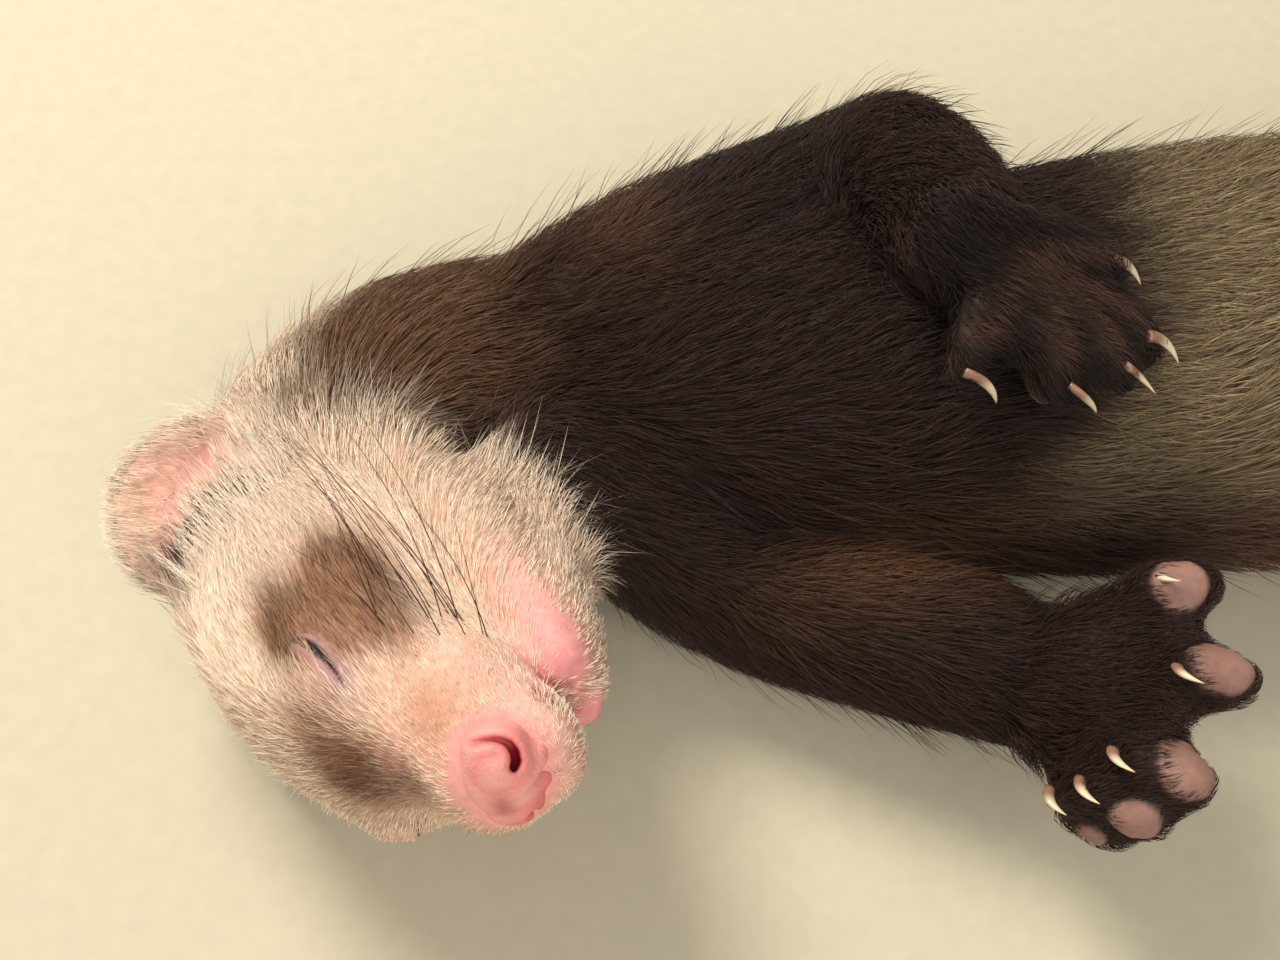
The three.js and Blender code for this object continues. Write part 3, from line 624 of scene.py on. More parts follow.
def markings_and_painted_light(p, n):
    """The coat's colour at points p with normals n, the same for the skin and for what grows on it, with
    painted sheen on the forelegs and painted light and shade on the left forepaw's toes.
    """
    x, z = p[:, 0], p[:, 2]
    q = head_points(p)
    side = mirrored(q)
    head = smooth(head_share.at(p), 0.25, 0.75)
    leg = smooth(leg_share.at(p), 0.2, 0.8)
    noise = patchy.at(p)
    colour = np.repeat(SABLE[None], len(p), 0)
    upward = smooth(z, 25, 42) * (1 - leg)
    colour = mix(colour, BROWN, 0.4 * smooth(x, 66, 84) * (1 - leg) * fall(x, 205, 235))
    across = x + 1.1 * np.clip(12 - p[:, 1], 0, 25)
    colour = mix(colour, BELLY, smooth(across + 4 * noise[:, 0], 60, 76) * fall(x, 168, 190) * upward)
    # painted sheen: the dark coat lightened towards brown along the top of the right forearm and on the left
    # upper arm
    painted_sheen = sum(bell(norms((p - centre) / radii), 1) for centre, radii in PAINTED_SHEEN_SPOTS)
    colour = mix(colour, MASK, 0.3 * painted_sheen)
    # painted light and shade on the left forepaw: the toes' ridges lighter, the grooves between them darkened
    upper = smooth(left_paw.at(p), 0.3, 0.8)
    ridge = toe_ridge(p)
    colour = mix(colour, TOE_RIDGE_LIGHT, upper * (0.05 + 0.4 * ridge)) * (1 - 0.6 * upper * (1 - ridge) ** 3)[:, None]
    neck = fall(x + 6 * noise[:, 1], -36, -12)
    colour = mix(colour, BROWN, neck * 0.75)
    pale = fall(x + 7 * noise[:, 0] + 3 * noise[:, 2], -54, -38)
    pale = np.maximum(pale, 1.8 * blob(q, (-20, 13, -13), (9, 9, 8)))
    pale -= 0.9 * blob(q, (-26, 25, -23), (9, 7, 9))
    colour = mix(colour, CREAM, pale * 0.85)
    face = np.repeat(CREAM[None], len(p), 0)
    mask = smooth(blobs(q, *MASK_AREAS) + 0.3 * noise[:, 2] + 0.2 * noise[:, 1], 0.15, 0.9)
    face = mix(face, MASK, mask * 0.9)
    face = mix(face, MASK_DARK, np.clip(blobs(q, *MASK_DARK_AREAS), 0, 1) * 0.6)
    face = mix(face, TAN, 0.75 * blob(side, (27.5, 8, 3), (4.5, 5, 4)))
    tufts = 0.3 * blob(q, (-14.5, 21, -0.5), (3.2, 3, 4.2)) + 0.6 * blob(q, (-18.5, 19.8, -4), (4, 4, 3))
    face = mix(face, MASK_DARK, tufts)
    colour = mix(colour, face, head)
    inside = ear_inside(p, n)
    tuft = blob(side, (-20.5, 14.5, 12.8), (4, 4, 3.2)) + blob(side, (-15.5, 12.5, 15), (4, 4, 3.2))
    return mix(colour, MASK_DARK, np.maximum(inside, 0.5) * tuft * (side[:, 0] < -9))


def mix(a, b, share):
    """Colours a with a share of colour b."""
    return a + (b - a) * np.clip(share, 0, 1)[:, None]


def eye_places(q):
    """Along and across the slit between the lids, and how far from its middle, for the nearer eye."""
    near = mirrored(q) - EYE_SPOT
    out = unit([0.48, 0.83, 0.1])
    across = unit(np.cross(out, EYE_LINE))
    along = near @ EYE_LINE
    return along, near @ across + 0.03 * along**2 - 0.25, norms(near)


def pad_share(p, spread=0.0):
    """1 on the pads under the toes and the soles, and spread millimetres round them."""
    total = np.zeros(len(p))
    for name, centres in TOE_PADS.items():
        dorsal = unit(DORSAL[name])
        turned_up = name == "forepaw_right"
        for c, size in zip(centres, TURNED_SIZES if turned_up else [1.0] * 5):
            r = p - np.array(c)
            pad = fall(norms(r), 3.7 * size + spread, 4.8 * size + 2 * spread)
            total = np.maximum(total, pad if turned_up else pad * fall(r @ dorsal, 0.4, 3.0))
    for c in SOLE_PADS:
        total = np.maximum(total, 0.8 * fall(norms(p - np.array(c)), 4.0, 6.5))
    return total


def bareness(p, n):
    """Where no hairs grow: lids, lips, pads and the deep of the ears' cups."""
    q = head_points(p)
    d_lip, along_lip = to_path(mirrored(q), LIP_BAND)
    lip = 0.95 * bell(d_lip, 3.0) * (1 - 0.5 * along_lip)
    d_mouth, _ = to_path(mirrored(q), MOUTH_LINE)
    ra, rb, _ = eye_places(q)
    lids = bell(rb, 0.42) * fall(np.abs(ra), 3.2, 4.6) * np.where(q[:, 1] > 0, 1.0, 0.5)
    corner = 0.75 * blob(q, LAVENDER, (2.6, 2.0, 1.8))
    nose = fall(nose_far(q), 0.2, 1.5)
    cup = ear_inside(p, n) * 0.85
    bare = np.maximum.reduce([lip, bell(d_mouth, 0.9), lids, corner, nose, cup, pad_share(p)])
    return smooth(bare, 0.12, 0.85)


def skin_colour(p, n):
    """The skin's colour: a tone of the coat's, with the bare parts in their own."""
    q = head_points(p)
    side = mirrored(q)
    fur = markings_and_painted_light(p, n)
    head = smooth(head_share.at(p), 0.3, 0.8)
    light = np.clip(fur.mean(axis=1) / CREAM.mean(), 0, 1)
    colour = mix(fur * 0.6, FACE_SKIN * (0.3 + 0.6 * light[:, None]), 0.7 * head)
    colour = mix(colour, NOSE, 0.85 * fall(nose_far(q), 0.5, 3.0))
    d_lip, along_lip = to_path(side, LIP_BAND)
    d_mouth, along_mouth = to_path(side, MOUTH_LINE)
    colour = mix(colour, PINK, bell(d_lip, 4.2) * (1 - 0.5 * along_lip))
    colour = mix(colour, PINK, 0.6 * blob(side, (29, 0, -7), (5, 8, 4)))
    colour = mix(colour, LIP_RED, bell(d_mouth, 0.7) * fall(along_mouth, 0.05, 0.6) * 0.7)
    # the lip's red, painted deeper into the hollow at the mouth's front as painted shade
    colour = mix(colour, LIP_RED, smooth(hollow(p), 0.3, 0.9) * blob(side, (31, 0, -9), (6, 8, 3.5)) * 1.3)
    d_notch, _ = to_path(q, NOTCH)
    colour = mix(colour, LIP_RED, bell(d_notch, 1.2))
    ra, rb, _ = eye_places(q)
    left = np.where(q[:, 1] > 0, 1.0, 0.4)
    colour = mix(colour, LID * 0.6, 0.7 * bell(rb, 1.1) * fall(np.abs(ra), 4.0, 6.0) * left)
    colour = mix(colour, LID, 0.8 * blob(q, LAVENDER, (3.4, 2.6, 2.4)))
    thin = 0.1 + 0.3 * fall(np.abs(ra + 1.0), 0.6, 4.0)
    slit = fall(np.abs(rb), thin * 0.7, thin * 1.6) * fall(np.abs(ra), 3.6, 4.8)
    colour = mix(colour, SLIT, slit)
    inside = ear_inside(p, n)
    # the cup's skin darkens to EAR_DEEP in its front lower part and, as painted shade, wherever it is hollow
    deep = np.maximum(hollow(p), blob(side, (-16, 19, 3), (6, 5, 7)))
    cup = mix(np.repeat(EAR_PINK[None], len(p), 0), EAR_DEEP, deep)
    dark = 0.9 * blob(side, (-20, 19.5, 1.5), (4.5, 4, 4.5)) + 0.8 * blob(side, (-17, 13, 14), (5, 5, 4))
    cup = mix(cup, MASK_DARK, dark)
    colour = mix(colour, cup, inside)
    for spot in FOLLICLES:
        colour = mix(colour, MASK_DARK * 0.5, bell(norms(q - np.array(spot)), 0.4))
    colour = mix(colour, PAD * (0.9 + 0.2 * patchy.at(p)[:, :1]), pad_share(p))
    # painted shade: the feet's skin darkened in its hollows, between the toes
    return colour * (1 - 0.55 * hollow(p) * (1 - inside) * smooth(paw_field.at(p), 0.3, 0.7))[:, None]


# ---- skin ----


def relief(p):
    """How far the folds of the face stand out of the skin, or lie in it."""
    q = head_points(p)
    side = mirrored(q)
    ra, rb, r = eye_places(q)
    window = fall(np.abs(ra), 2.8, 5.0) * np.where(q[:, 1] > 0, 1.0, 0.5)
    out = 0.35 * bell(r, 4.2) - 0.45 * bell(r - 7.4, 2.2)
    out += window * (0.2 * bell(np.abs(rb) - 0.7, 0.4) - 0.35 * bell(rb, 0.24))
    fold = fall(np.abs(ra), 4.6, 6.4) * 0.25
    out -= fold * (bell(rb - 2.2, 0.5) + bell(rb + 2.0, 0.5))
    d_mouth, along_mouth = to_path(side, MOUTH_LINE)
    front = fall(along_mouth, 0.1, 0.9)
    out -= (0.35 + 0.9 * front) * bell(d_mouth, 0.55)
    d_notch, _ = to_path(q, NOTCH)
    out -= 1.3 * bell(d_notch, 0.8) + 1.5 * blob(q, (27.8, -1.5, -13.0), (4, 5, 3.5))
    d_lip, along_lip = to_path(side, LIP_BAND)
    out += 0.3 * bell(d_lip, 3.2) * (1 - 0.4 * along_lip)
    above = side + np.array([0, 0, -2.2])
    d_upper, _ = to_path(above, MOUTH_LINE)
    out += 0.45 * bell(d_upper, 1.4) * front
    out -= 0.7 * bell(q[:, 1], 0.5) * blob(q, (31.5, 0, -6.5), (4, 3, 3.2))
    return out + 0.5 * pad_share(p) * (p[:, 1] < -10)


def detail_zone(c):
    """Where the skin is finest: the eyes, the mouth and the muzzle's end."""
    q = head_points(c)
    d_mouth, _ = to_path(mirrored(q), MOUTH_LINE)
    muzzle_end = (q[:, 0] > 24) & (np.abs(q[:, 1]) < 14) & (np.abs(q[:, 2]) < 16)
    return (eye_places(q)[2] < 8.5) | (d_mouth < 4.5) | muzzle_end


def quartered(points, quads):
    """Each quad as four."""
    edges = np.sort(np.concatenate([quads[:, [k, (k + 1) % 4]] for k in range(4)]), axis=1)
    lone, which = np.unique(edges, axis=0, return_inverse=True)
    which = which.reshape(4, -1) + len(points)
    centre = np.arange(len(quads)) + len(points) + len(lone)
    points = np.concatenate([points, points[lone].mean(axis=1), points[quads].mean(axis=1)])
    faces = [np.stack([quads[:, k], which[k], centre, which[k - 1]], axis=1) for k in range(4)]
    return points, np.concatenate(faces)


def fine_zone(c):
    """Where the skin keeps its fine mesh: the head and the four feet."""
    zone = norms(c - HEAD_CENTRE) < 50
    for sign in (1, -1):
        zone |= norms(c - in_head(-27, 20 * sign, 12)) < 24
    for name in TOE_PADS:
        box_low, box_high = (np.array(v) * 1000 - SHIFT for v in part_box(name))
        zone |= np.all((c > box_low - 1) & (c < box_high + 1), axis=1)
    return zone


fine = surface(skin_values, low, FINE)
coarse = surface(skin_values[::2, ::2, ::2], low // 2, FINE * 2)
face_points, face_quads = quartered(*kept(fine[0], fine[2], lambda c: fine_zone(c) & detail_zone(c)))
near_points, near_quads = kept(fine[0], fine[2], lambda c: fine_zone(c) & ~detail_zone(c))
far_points, far_quads = kept(coarse[0], coarse[2], lambda c: ~fine_zone(c))
skin_points = np.concatenate([face_points, near_points, far_points])
skin_quads = np.concatenate([
    face_quads, near_quads + len(face_points), far_quads + len(face_points) + len(near_points)])
skin_points = skin_points - skin_field.at(skin_points)[:, None] * skin_field.slope(skin_points)
skin_normals = skin_field.slope(skin_points)
skin_points += relief(skin_points)[:, None] * skin_normals
skin = new_object("skin", skin_points, [skin_quads[:, ::-1]])
paint(skin, skin_colour(skin_points, skin_normals))


# ---- coat ----

skin_triangles = np.concatenate([skin_quads[:, [0, 1, 2]], skin_quads[:, [0, 2, 3]]])
corners = skin_points[skin_triangles]
crossed = np.cross(corners[:, 1] - corners[:, 0], corners[:, 2] - corners[:, 0])
skin_areas = norms(crossed) / 2
skin_middles = corners.mean(axis=1)


def scattered(weight, draw):
    """Points on the skin, weight of them to each square millimetre."""
    expected = skin_areas * weight
    counts = np.floor(expected + draw.random(len(expected))).astype(int)
    chosen = np.repeat(np.arange(len(counts)), counts)
    a, b = draw.random((2, len(chosen)))
    flip = a + b > 1
    a[flip], b[flip] = 1 - a[flip], 1 - b[flip]
    tri = corners[chosen]
    spots = tri[:, 0] + a[:, None] * (tri[:, 1] - tri[:, 0]) + b[:, None] * (tri[:, 2] - tri[:, 0])
    return spots[draw.permutation(len(spots))]


def on_map(p):
    """Where points of the skin lie on the map: each part unrolled about its own axis into its cell."""
    i = np.clip(np.round((p - low * FINE) / COARSE).astype(int), 0, np.array(labels.shape) - 1)
    part = labels[i[:, 0], i[:, 1], i[:, 2]]
    start, end = STARTS[part], ENDS[part]
    axis = unit(end - start)
    reach = dots(p - start, axis)
    along = reach / norms(end - start)
    along = 0.5 + 0.5 * np.tanh(1.3 * (along - 0.5))
    away = p - start - reach[:, None] * axis
    side = unit(np.cross(axis, np.array([0.13, 0.21, 1.0])))
    up = np.cross(side, axis)
    turn = np.arctan2(dots(away, side), dots(away, up))
    turn = turn / (2 * math.pi) + 0.5
    cells = CELLS[part]
    return np.stack([cells[:, 0] + cells[:, 2] * turn, cells[:, 1] + cells[:, 3] * along], axis=1)


PATCH = 0.0026, 0.0028  # the size of a hair's patch on the map


def finished(name, rings, tips, colours, along, roots):
    """One mesh of closed three-sided hairs from their rings of three corners and their tips."""
    count, ring_count = rings.shape[:2]
    per = ring_count * 3 + 1
    points = np.concatenate([rings.reshape(count, ring_count * 3, 3), tips[:, None]], axis=1)
    faces = []
    for k in range(ring_count - 1):
        for c in range(3):
            a, b = 3 * k + c, 3 * k + (c + 1) % 3
            faces += [(a, b, b + 3), (a, b + 3, a + 3)]
    top = 3 * (ring_count - 1)
    faces += [(top + c, top + (c + 1) % 3, per - 1) for c in range(3)]
    faces = np.array(faces)
    everyone = (faces[None] + (np.arange(count) * per)[:, None, None]).reshape(-1, 3)
    made = new_object(name, points.reshape(-1, 3), [everyone])
    paint(made, colours.reshape(-1, 3))
    layer = made.data.uv_layers.new(name="OFBake")
    across = np.concatenate([np.tile([-1.0, 1.0, 0.0], ring_count), [0.0]])
    patch = np.stack([across * PATCH[0] / 2, (along - 0.5) * PATCH[1]], axis=1)
    spots = on_map(roots)[:, None, None, :] + patch[faces][None]
    layer.data.foreach_set("uv", spots.reshape(-1).astype(np.float32))
    return made


def three_sided(centres, side, up, half, height):
    """Rings of three corners round all but the last of each hair's centres, of a half width and a height."""
    middle, side, up = centres[:, :-1], side[:, :-1], up[:, :-1]
    return np.stack([middle - side * half, middle + side * half, middle + up * half * height], axis=2)


# painted shade darkens and warms each hair towards its root, and painted light lightens it towards its tip
ROOT_SHADE, TIP_SHADE = np.array([0.86, 0.74, 0.64]), np.array([1.1, 1.09, 1.06])


def hairs(name, roots, lie, length, width, lift, colours, draw, rings=2, curl=2.2):
    """Tapered hairs that follow the skin, each at its own height. With one ring they are straight."""
    count = len(roots)
    stations = np.linspace(0, 1, rings + 1)
    centres = np.empty((count, rings + 1, 3))
    ups = np.empty((count, rings + 1, 3))
    slope = skin_field.slope(roots)
    heading = unit(lie - dots(lie, slope)[:, None] * slope)
    centres[:, 0], ups[:, 0] = roots - slope * 0.25, slope
    place = roots
    for k, t in enumerate(stations[1:], 1):
        place = place + heading * (length / rings)[:, None]
        slope = skin_field.slope(place)
        height = lift * (1 - (1 - t) ** curl)
        place = place + slope * (height - skin_field.at(place))[:, None]
        place[:, 2] = np.maximum(place[:, 2], 0.15)
        heading = unit(heading - 0.8 * dots(heading, slope)[:, None] * slope)
        centres[:, k], ups[:, k] = place, slope
    way = unit(np.diff(centres, axis=1))
    way = np.concatenate([way, way[:, -1:]], axis=1)
    side = unit(np.cross(way, ups))
    up = np.cross(side, way)
    roll = draw.normal(0, 0.5, count)[:, None, None]
    side, up = side * np.cos(roll) + up * np.sin(roll), up * np.cos(roll) - side * np.sin(roll)
    taper = np.interp(np.arange(rings) / rings, [0, 0.3, 1], [0.75, 1.0, 0.35])
    half = (width[:, None] * taper / 2)[:, :, None]
    ring = three_sided(centres, side, up, half, 0.9)
    along = np.concatenate([np.repeat(stations[:rings], 3), [1.0]])
    shades = colours[:, None, :] * (ROOT_SHADE + (TIP_SHADE - ROOT_SHADE) * along[:, None])[None]
    return finished(name, ring, centres[:, -1], shades, along, roots)


def lie_at(p, draw, spread=0.12):
    """Which way hairs lie at points p: down each part's own length, and back and out over the face."""
    way = unit(lie_field.at(p))
    q = head_points(p)
    head = smooth(head_share.at(p), 0.3, 0.8)[:, None]
    out = np.sign(q[:, 1]) * smooth(np.abs(q[:, 1]), 1, 9)
    down = smooth(-q[:, 2], 4, 14)
    face = -0.8 * FORWARD + (0.75 * out)[:, None] * LEFT - (0.9 * down)[:, None] * CROWN
    chin = smooth(jaw_share.at(p), 0.3, 0.8)[:, None]
    face = face * (1 - chin) + chin * (-0.35 * FORWARD - 0.85 * CROWN + 0.3 * out[:, None] * LEFT)
    for sign in (1, -1):
        ear = (smooth(ear_share.at(p), 0.3, 0.7) * (q[:, 1] * sign > 0))[:, None]
        face = face * (1 - ear) + ear * ear_axes(sign)[1]
    way = way * (1 - head) + face * head
    wander = 0.3 * (1 - 0.4 * head)
    return way + wander * flow.at(p) + wander * ripple.at(p) + draw.normal(0, spread, p.shape)


def coat(name, weight, seed, rings=2, limit=199000, size=(1.0, 1.0, 1.0), tone=0.3, shade=1.0, curl=2.2):
    """A piece of the coat of up to limit triangles. size scales the length, width and height of its hairs."""
    draw = np.random.default_rng(seed)
    roots = scattered(weight, draw)[: limit // (6 * rings - 3)]
    n = len(roots)
    normals = skin_field.slope(roots)
    q = head_points(roots)
    head = smooth(head_share.at(roots), 0.3, 0.8)
    short = 1 - head * (0.62 * smooth(q[:, 0], 6, 27) + 0.12 * smooth(q[:, 0], -8, 6))
    short *= 1 - 0.15 * head * bell(eye_places(q)[2], 5.5)
    short *= 1 - 0.5 * pad_share(roots, 2.0)
    length = length_field.at(roots) * size[0] * draw.uniform(0.6, 1.2, n) * short
    width = width_field.at(roots) * size[1] * draw.uniform(0.75, 1.25, n)
    lift = np.maximum(depth_field.at(roots) * short, 0.3) * size[2] * draw.uniform(0.5, 1.15, n)
    marks = markings_and_painted_light(roots, normals)
    colours = marks * (shade * (1 + tone * draw.uniform(-1, 1, n)))[:, None]
    # painted shade: body hairs darkened where the skin is hollow
    colours *= (1 - 0.35 * hollow(roots) * (1 - head))[:, None]
    brown = fall(marks.mean(axis=1), 0.25, 0.5)
    colours *= (1 - 0.5 * brown * head * (draw.random(n) < 0.3))[:, None]
    return hairs(name, roots, lie_at(roots, draw), length, width, lift, colours, draw, rings=rings, curl=curl)


skin_bare = bareness(skin_middles, skin_field.slope(skin_middles))
skin_density = density_field.at(skin_middles)
skin_ground = 0.35 + 0.65 * smooth(skin_middles[:, 2], 3, 9)


def weight_of(*parts, scale=1.0):
    """How many hairs grow on each square millimetre of some parts, at the skin's triangles."""
    chosen = share_of(*parts, sigma=1.5).at(skin_middles) > 0.5
    return np.where(chosen, skin_density * skin_ground * (1 - skin_bare) * scale, 0)


ARMS = ("upper_arm_left", "forearm_left", "upper_arm_right", "forearm_right")
HIND = ("thigh_left", "thigh_right", "shank_left", "shank_right")
BODY = ("neck_front", "neck_base", "chest", "belly", "hips", *ARMS, *HIND)
FORE = ("forepaw_left", "forepaw_right")
HINDFEET = ("hindfoot_left", "hindfoot_right")
coats = [
    coat("head_coat_1", weight_of(*FACE, scale=1.1), 21, size=(1.3, 0.52, 1.05), tone=0.14),
    coat(
        "head_coat_2", weight_of(*FACE, scale=3.2), 22, rings=1, limit=182000, size=(0.8, 0.44, 0.8),
        tone=0.14),
    coat("neck_coat", weight_of("neck_front", "neck_base", scale=1.9), 23, size=(0.95, 0.6, 1)),
    coat("chest_coat", weight_of("chest", scale=1.9), 24, size=(0.9, 0.55, 1)),
    coat("belly_coat", weight_of("belly", "hips", scale=1.4), 25, limit=172000, size=(1, 0.68, 1)),
    coat("tail_coat", weight_of("tail_1", "tail_2", "tail_3", scale=1.6), 26, size=(1, 0.8, 1)),
    coat("arm_coat", weight_of(*ARMS, scale=1.85), 27, size=(0.9, 0.55, 1)),
    coat("hind_coat", weight_of(*HIND, scale=1.15), 28, size=(1, 0.65, 1)),
    coat("forepaw_coat", weight_of(*FORE, scale=1.9), 29, size=(1.2, 0.6, 3.0)),
    coat("hindfoot_coat", weight_of(*HINDFEET, scale=2.0), 32, rings=1, size=(1.1, 0.7, 2.2)),
    coat(
        "guard_coat", weight_of(*BODY, scale=0.075), 30, rings=3, size=(1.45, 0.5, 2.6), shade=0.7, curl=1.1),
    coat("face_guard_coat", weight_of(*FACE, scale=0.12), 31, size=(1.6, 0.5, 2.2), tone=0.15, curl=1.2),
]


# ---- materials ----


def set_inputs(node, values):
    for name, value in values.items():
        node.inputs[name].default_value = value


def material(name, roughness=0.6, specular=0.4, sheen=0.0, bump=0.2, scale=900.0, vary=0.25, subsurface=0.0):
    """A surface coloured by its markings with their painted light and shade, varied by noise and finely
    bumped.
    """
    made = bpy.data.materials.new(name)
    made.use_nodes = True
    tree = made.node_tree
    link = tree.links.new
    shader = tree.nodes["Principled BSDF"]
    set_inputs(shader, {
        "Roughness": roughness, "Specular IOR Level": specular, "Sheen Weight": sheen,
        "Subsurface Weight": subsurface, "Subsurface Radius": (0.003, 0.0015, 0.001)})
    colour = tree.nodes.new("ShaderNodeAttribute")
    colour.attribute_name = "markings_and_painted_light"
    noise = tree.nodes.new("ShaderNodeTexNoise")
    set_inputs(noise, {"Scale": scale, "Detail": 3})
    link(tree.nodes.new("ShaderNodeTexCoord").outputs["Object"], noise.inputs["Vector"])
    span = tree.nodes.new("ShaderNodeMapRange")
    set_inputs(span, {"From Min": 0.3, "From Max": 0.7, "To Min": 1 - vary, "To Max": 1 + vary})
    link(noise.outputs["Fac"], span.inputs["Value"])
    shade = tree.nodes.new("ShaderNodeVectorMath")
    shade.operation = "SCALE"
    link(colour.outputs["Color"], shade.inputs[0])
    link(span.outputs["Result"], shade.inputs["Scale"])
    link(shade.outputs["Vector"], shader.inputs["Base Color"])
    if bump:
        bumps = tree.nodes.new("ShaderNodeBump")
        set_inputs(bumps, {"Strength": bump, "Distance": 0.0003})
        link(noise.outputs["Fac"], bumps.inputs["Height"])
        link(bumps.outputs["Normal"], shader.inputs["Normal"])
    return made


def plain(name, colour, roughness=0.5, bump=0.1, scale=600.0, vary=0.12):
    """A surface of one colour, varied by noise."""
    made = material(name, roughness=roughness, bump=bump, scale=scale, vary=vary)
    tree = made.node_tree
    marks = next(n for n in tree.nodes if n.type == "ATTRIBUTE")
    shade = next(n for n in tree.nodes if n.type == "VECT_MATH")
    tree.nodes.remove(marks)
    shade.inputs[0].default_value = colour
    return made


skin_material = material("skin", roughness=0.6, specular=0.3, bump=0.35, vary=0.1, subsurface=0.06)
hair_material = material("hair", roughness=0.55, specular=0.22, sheen=0.04, bump=0.0, vary=0.15)
eye_material = plain("eye", srgb(20, 14, 13), roughness=0.3, bump=0.0)

# ---- nose ----

NOSE_SPACING = 0.2
NOSTRIL = np.array([
    (32.7, 6.9, 2.2), (33.2, 6.8, 1.2), (33.8, 6.7, 0.3), (34.5, 6.3, -0.5), (35.2, 5.8, -0.9),
    (36.0, 5.1, -0.9), (36.6, 4.4, -0.5), (36.8, 4.1, 0.0)])
NOSTRIL_WIDTH = np.array([0.14, 0.2, 0.25, 0.32, 0.42, 0.5, 0.58, 0.5])
NOSTRIL_DEPTH = np.array([0.3, 0.5, 0.7, 0.9, 1.2, 1.6, 2.0, 2.0])
NOSTRIL_OUT = unit([0.66, 0.74, 0.1])


def flattened(q):
    """Head points without their depth along the nostril's opening."""
    return q - (q @ NOSTRIL_OUT)[:, None] * NOSTRIL_OUT


def nostril(side):
    """How far points are, seen along the nostril's opening, from its line; its width and depth there."""
    d, along = to_path(flattened(side), flattened(NOSTRIL))
    stations = np.linspace(0, 1, len(NOSTRIL))
    width, deep = (np.interp(along, stations, values) for values in (NOSTRIL_WIDTH, NOSTRIL_DEPTH))
    return np.where(side @ NOSTRIL_OUT > 24, d, 9), width, deep


def nose_piece():
    """The bare end of the nose, its two comma-shaped nostrils and the groove between them."""
    start = np.array([25.0, -9.5, -8.0])
    counts = np.ceil(np.array([15, 19, 16]) / NOSE_SPACING).astype(int)
    grid = np.stack(np.meshgrid(*(np.arange(n) for n in counts), indexing="ij"), axis=-1).reshape(-1, 3)
    q = start + grid * NOSE_SPACING
    side = mirrored(q)
    value = egg(q, NOSE_AT, NOSE_RADII) / HEAD_SCALE
    value = joined(value, egg(side, (33.4, 4.4, 0.2), (3.0, 2.8, 3.6)) / HEAD_SCALE, 1.6)
    value = joined(value, egg(side, (34.0, 1.7, -3.2), (2.8, 2.0, 2.2)) / HEAD_SCALE, 1.0)
    d, width, deep = nostril(side)
    width = width * np.where(q[:, 1] > 0, 1.0, 0.6)
    value -= 0.42 * bell(d - width - 0.8, 0.7)
    value += 0.7 * bell(q[:, 1], 0.42) * smooth(-q[:, 2], -1.0, 2.0) * smooth(q[:, 0], 31, 34)
    value = np.maximum(value, np.minimum(width - d, value + deep))
    values = blurred(value.reshape(counts).astype(np.float32), 0.8)
    points, _, quads = surface(values, np.zeros(3, int), NOSE_SPACING)
    q = points + start
    made = new_object("nose", out_of_head(nose_out(q)), [quads[:, ::-1]])
    side = mirrored(q)
    d, width, deep = nostril(side)
    colour = np.repeat(NOSE[None], len(q), 0)
    # painted highlight on the nose's upper part, and painted shade darkening it towards the ferret's right
    # and downwards
    colour = mix(colour, srgb(244, 176, 164), blob(side, (36, 3.0, 3.2), (3, 4, 3)) * 0.6)
    colour = mix(colour, srgb(208, 100, 100), smooth(-q[:, 1] - 0.8 * q[:, 2], -0.5, 5.5) * 0.8)
    colour = mix(colour, srgb(222, 112, 112), bell(egg(side, (34.6, 3.4, 0.2), (3.2, 3.6, 4.0)), 0.5) * 0.45)
    colour = mix(colour, srgb(150, 74, 62), 0.75 * blob(q, (37, -0.8, 3.0), (2.0, 2.8, 1.6)))
    colour = mix(colour, srgb(206, 84, 88), bell(np.maximum(d - width, 0), 0.55) * 0.6)
    # the left nostril's red lining, painted darkest where it goes deepest, as painted shade
    inner = bell(np.maximum(d - width * 0.9, 0), 0.22) * smooth(deep, 0.4, 1.6) * (q[:, 1] > 0)
    colour = mix(colour, srgb(150, 24, 40), inner)
    paint(made, colour)
    return made


nose = nose_piece()
nose_material = material("nose", roughness=0.45, bump=0.5, scale=2200, vary=0.06, subsurface=0.12)
nose.data.materials.append(nose_material)
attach(nose, "root")
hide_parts("nose_pad")

# ---- whiskers and claws ----


def on_skin(points):
    """Points moved to the nearest place on the skin."""
    for _ in range(3):
        points = points - skin_field.at(points)[:, None] * skin_field.slope(points)
    return points


def strands(name, roots, way, bend, length, width, colour, rings=8):
    """Free curved hairs from roots, each turning from its way by its bend."""
    t = np.linspace(0, 1, rings + 1)[None, :, None]
    centres = roots[:, None] + length[:, None, None] * (way[:, None] * t + bend[:, None] * t**2)
    centres[:, :, 2] = np.maximum(centres[:, :, 2], 0.2)
    heading = unit(np.gradient(centres, axis=1))
    side = unit(np.cross(heading, np.array([0.2, -0.5, 0.84])))
    up = np.cross(side, heading)
    half = (width[:, None] / 2 * np.linspace(1, 0.25, rings + 1)[None])[:, :rings, None]
    ring = three_sided(centres, side, up, half, 1.4)
    along = np.concatenate([np.repeat(t.ravel()[:rings], 3), [1.0]])
    colours = np.broadcast_to(colour, (len(roots), len(along), 3)).copy()
    return finished(name, ring, centres[:, -1], colours, along, roots)


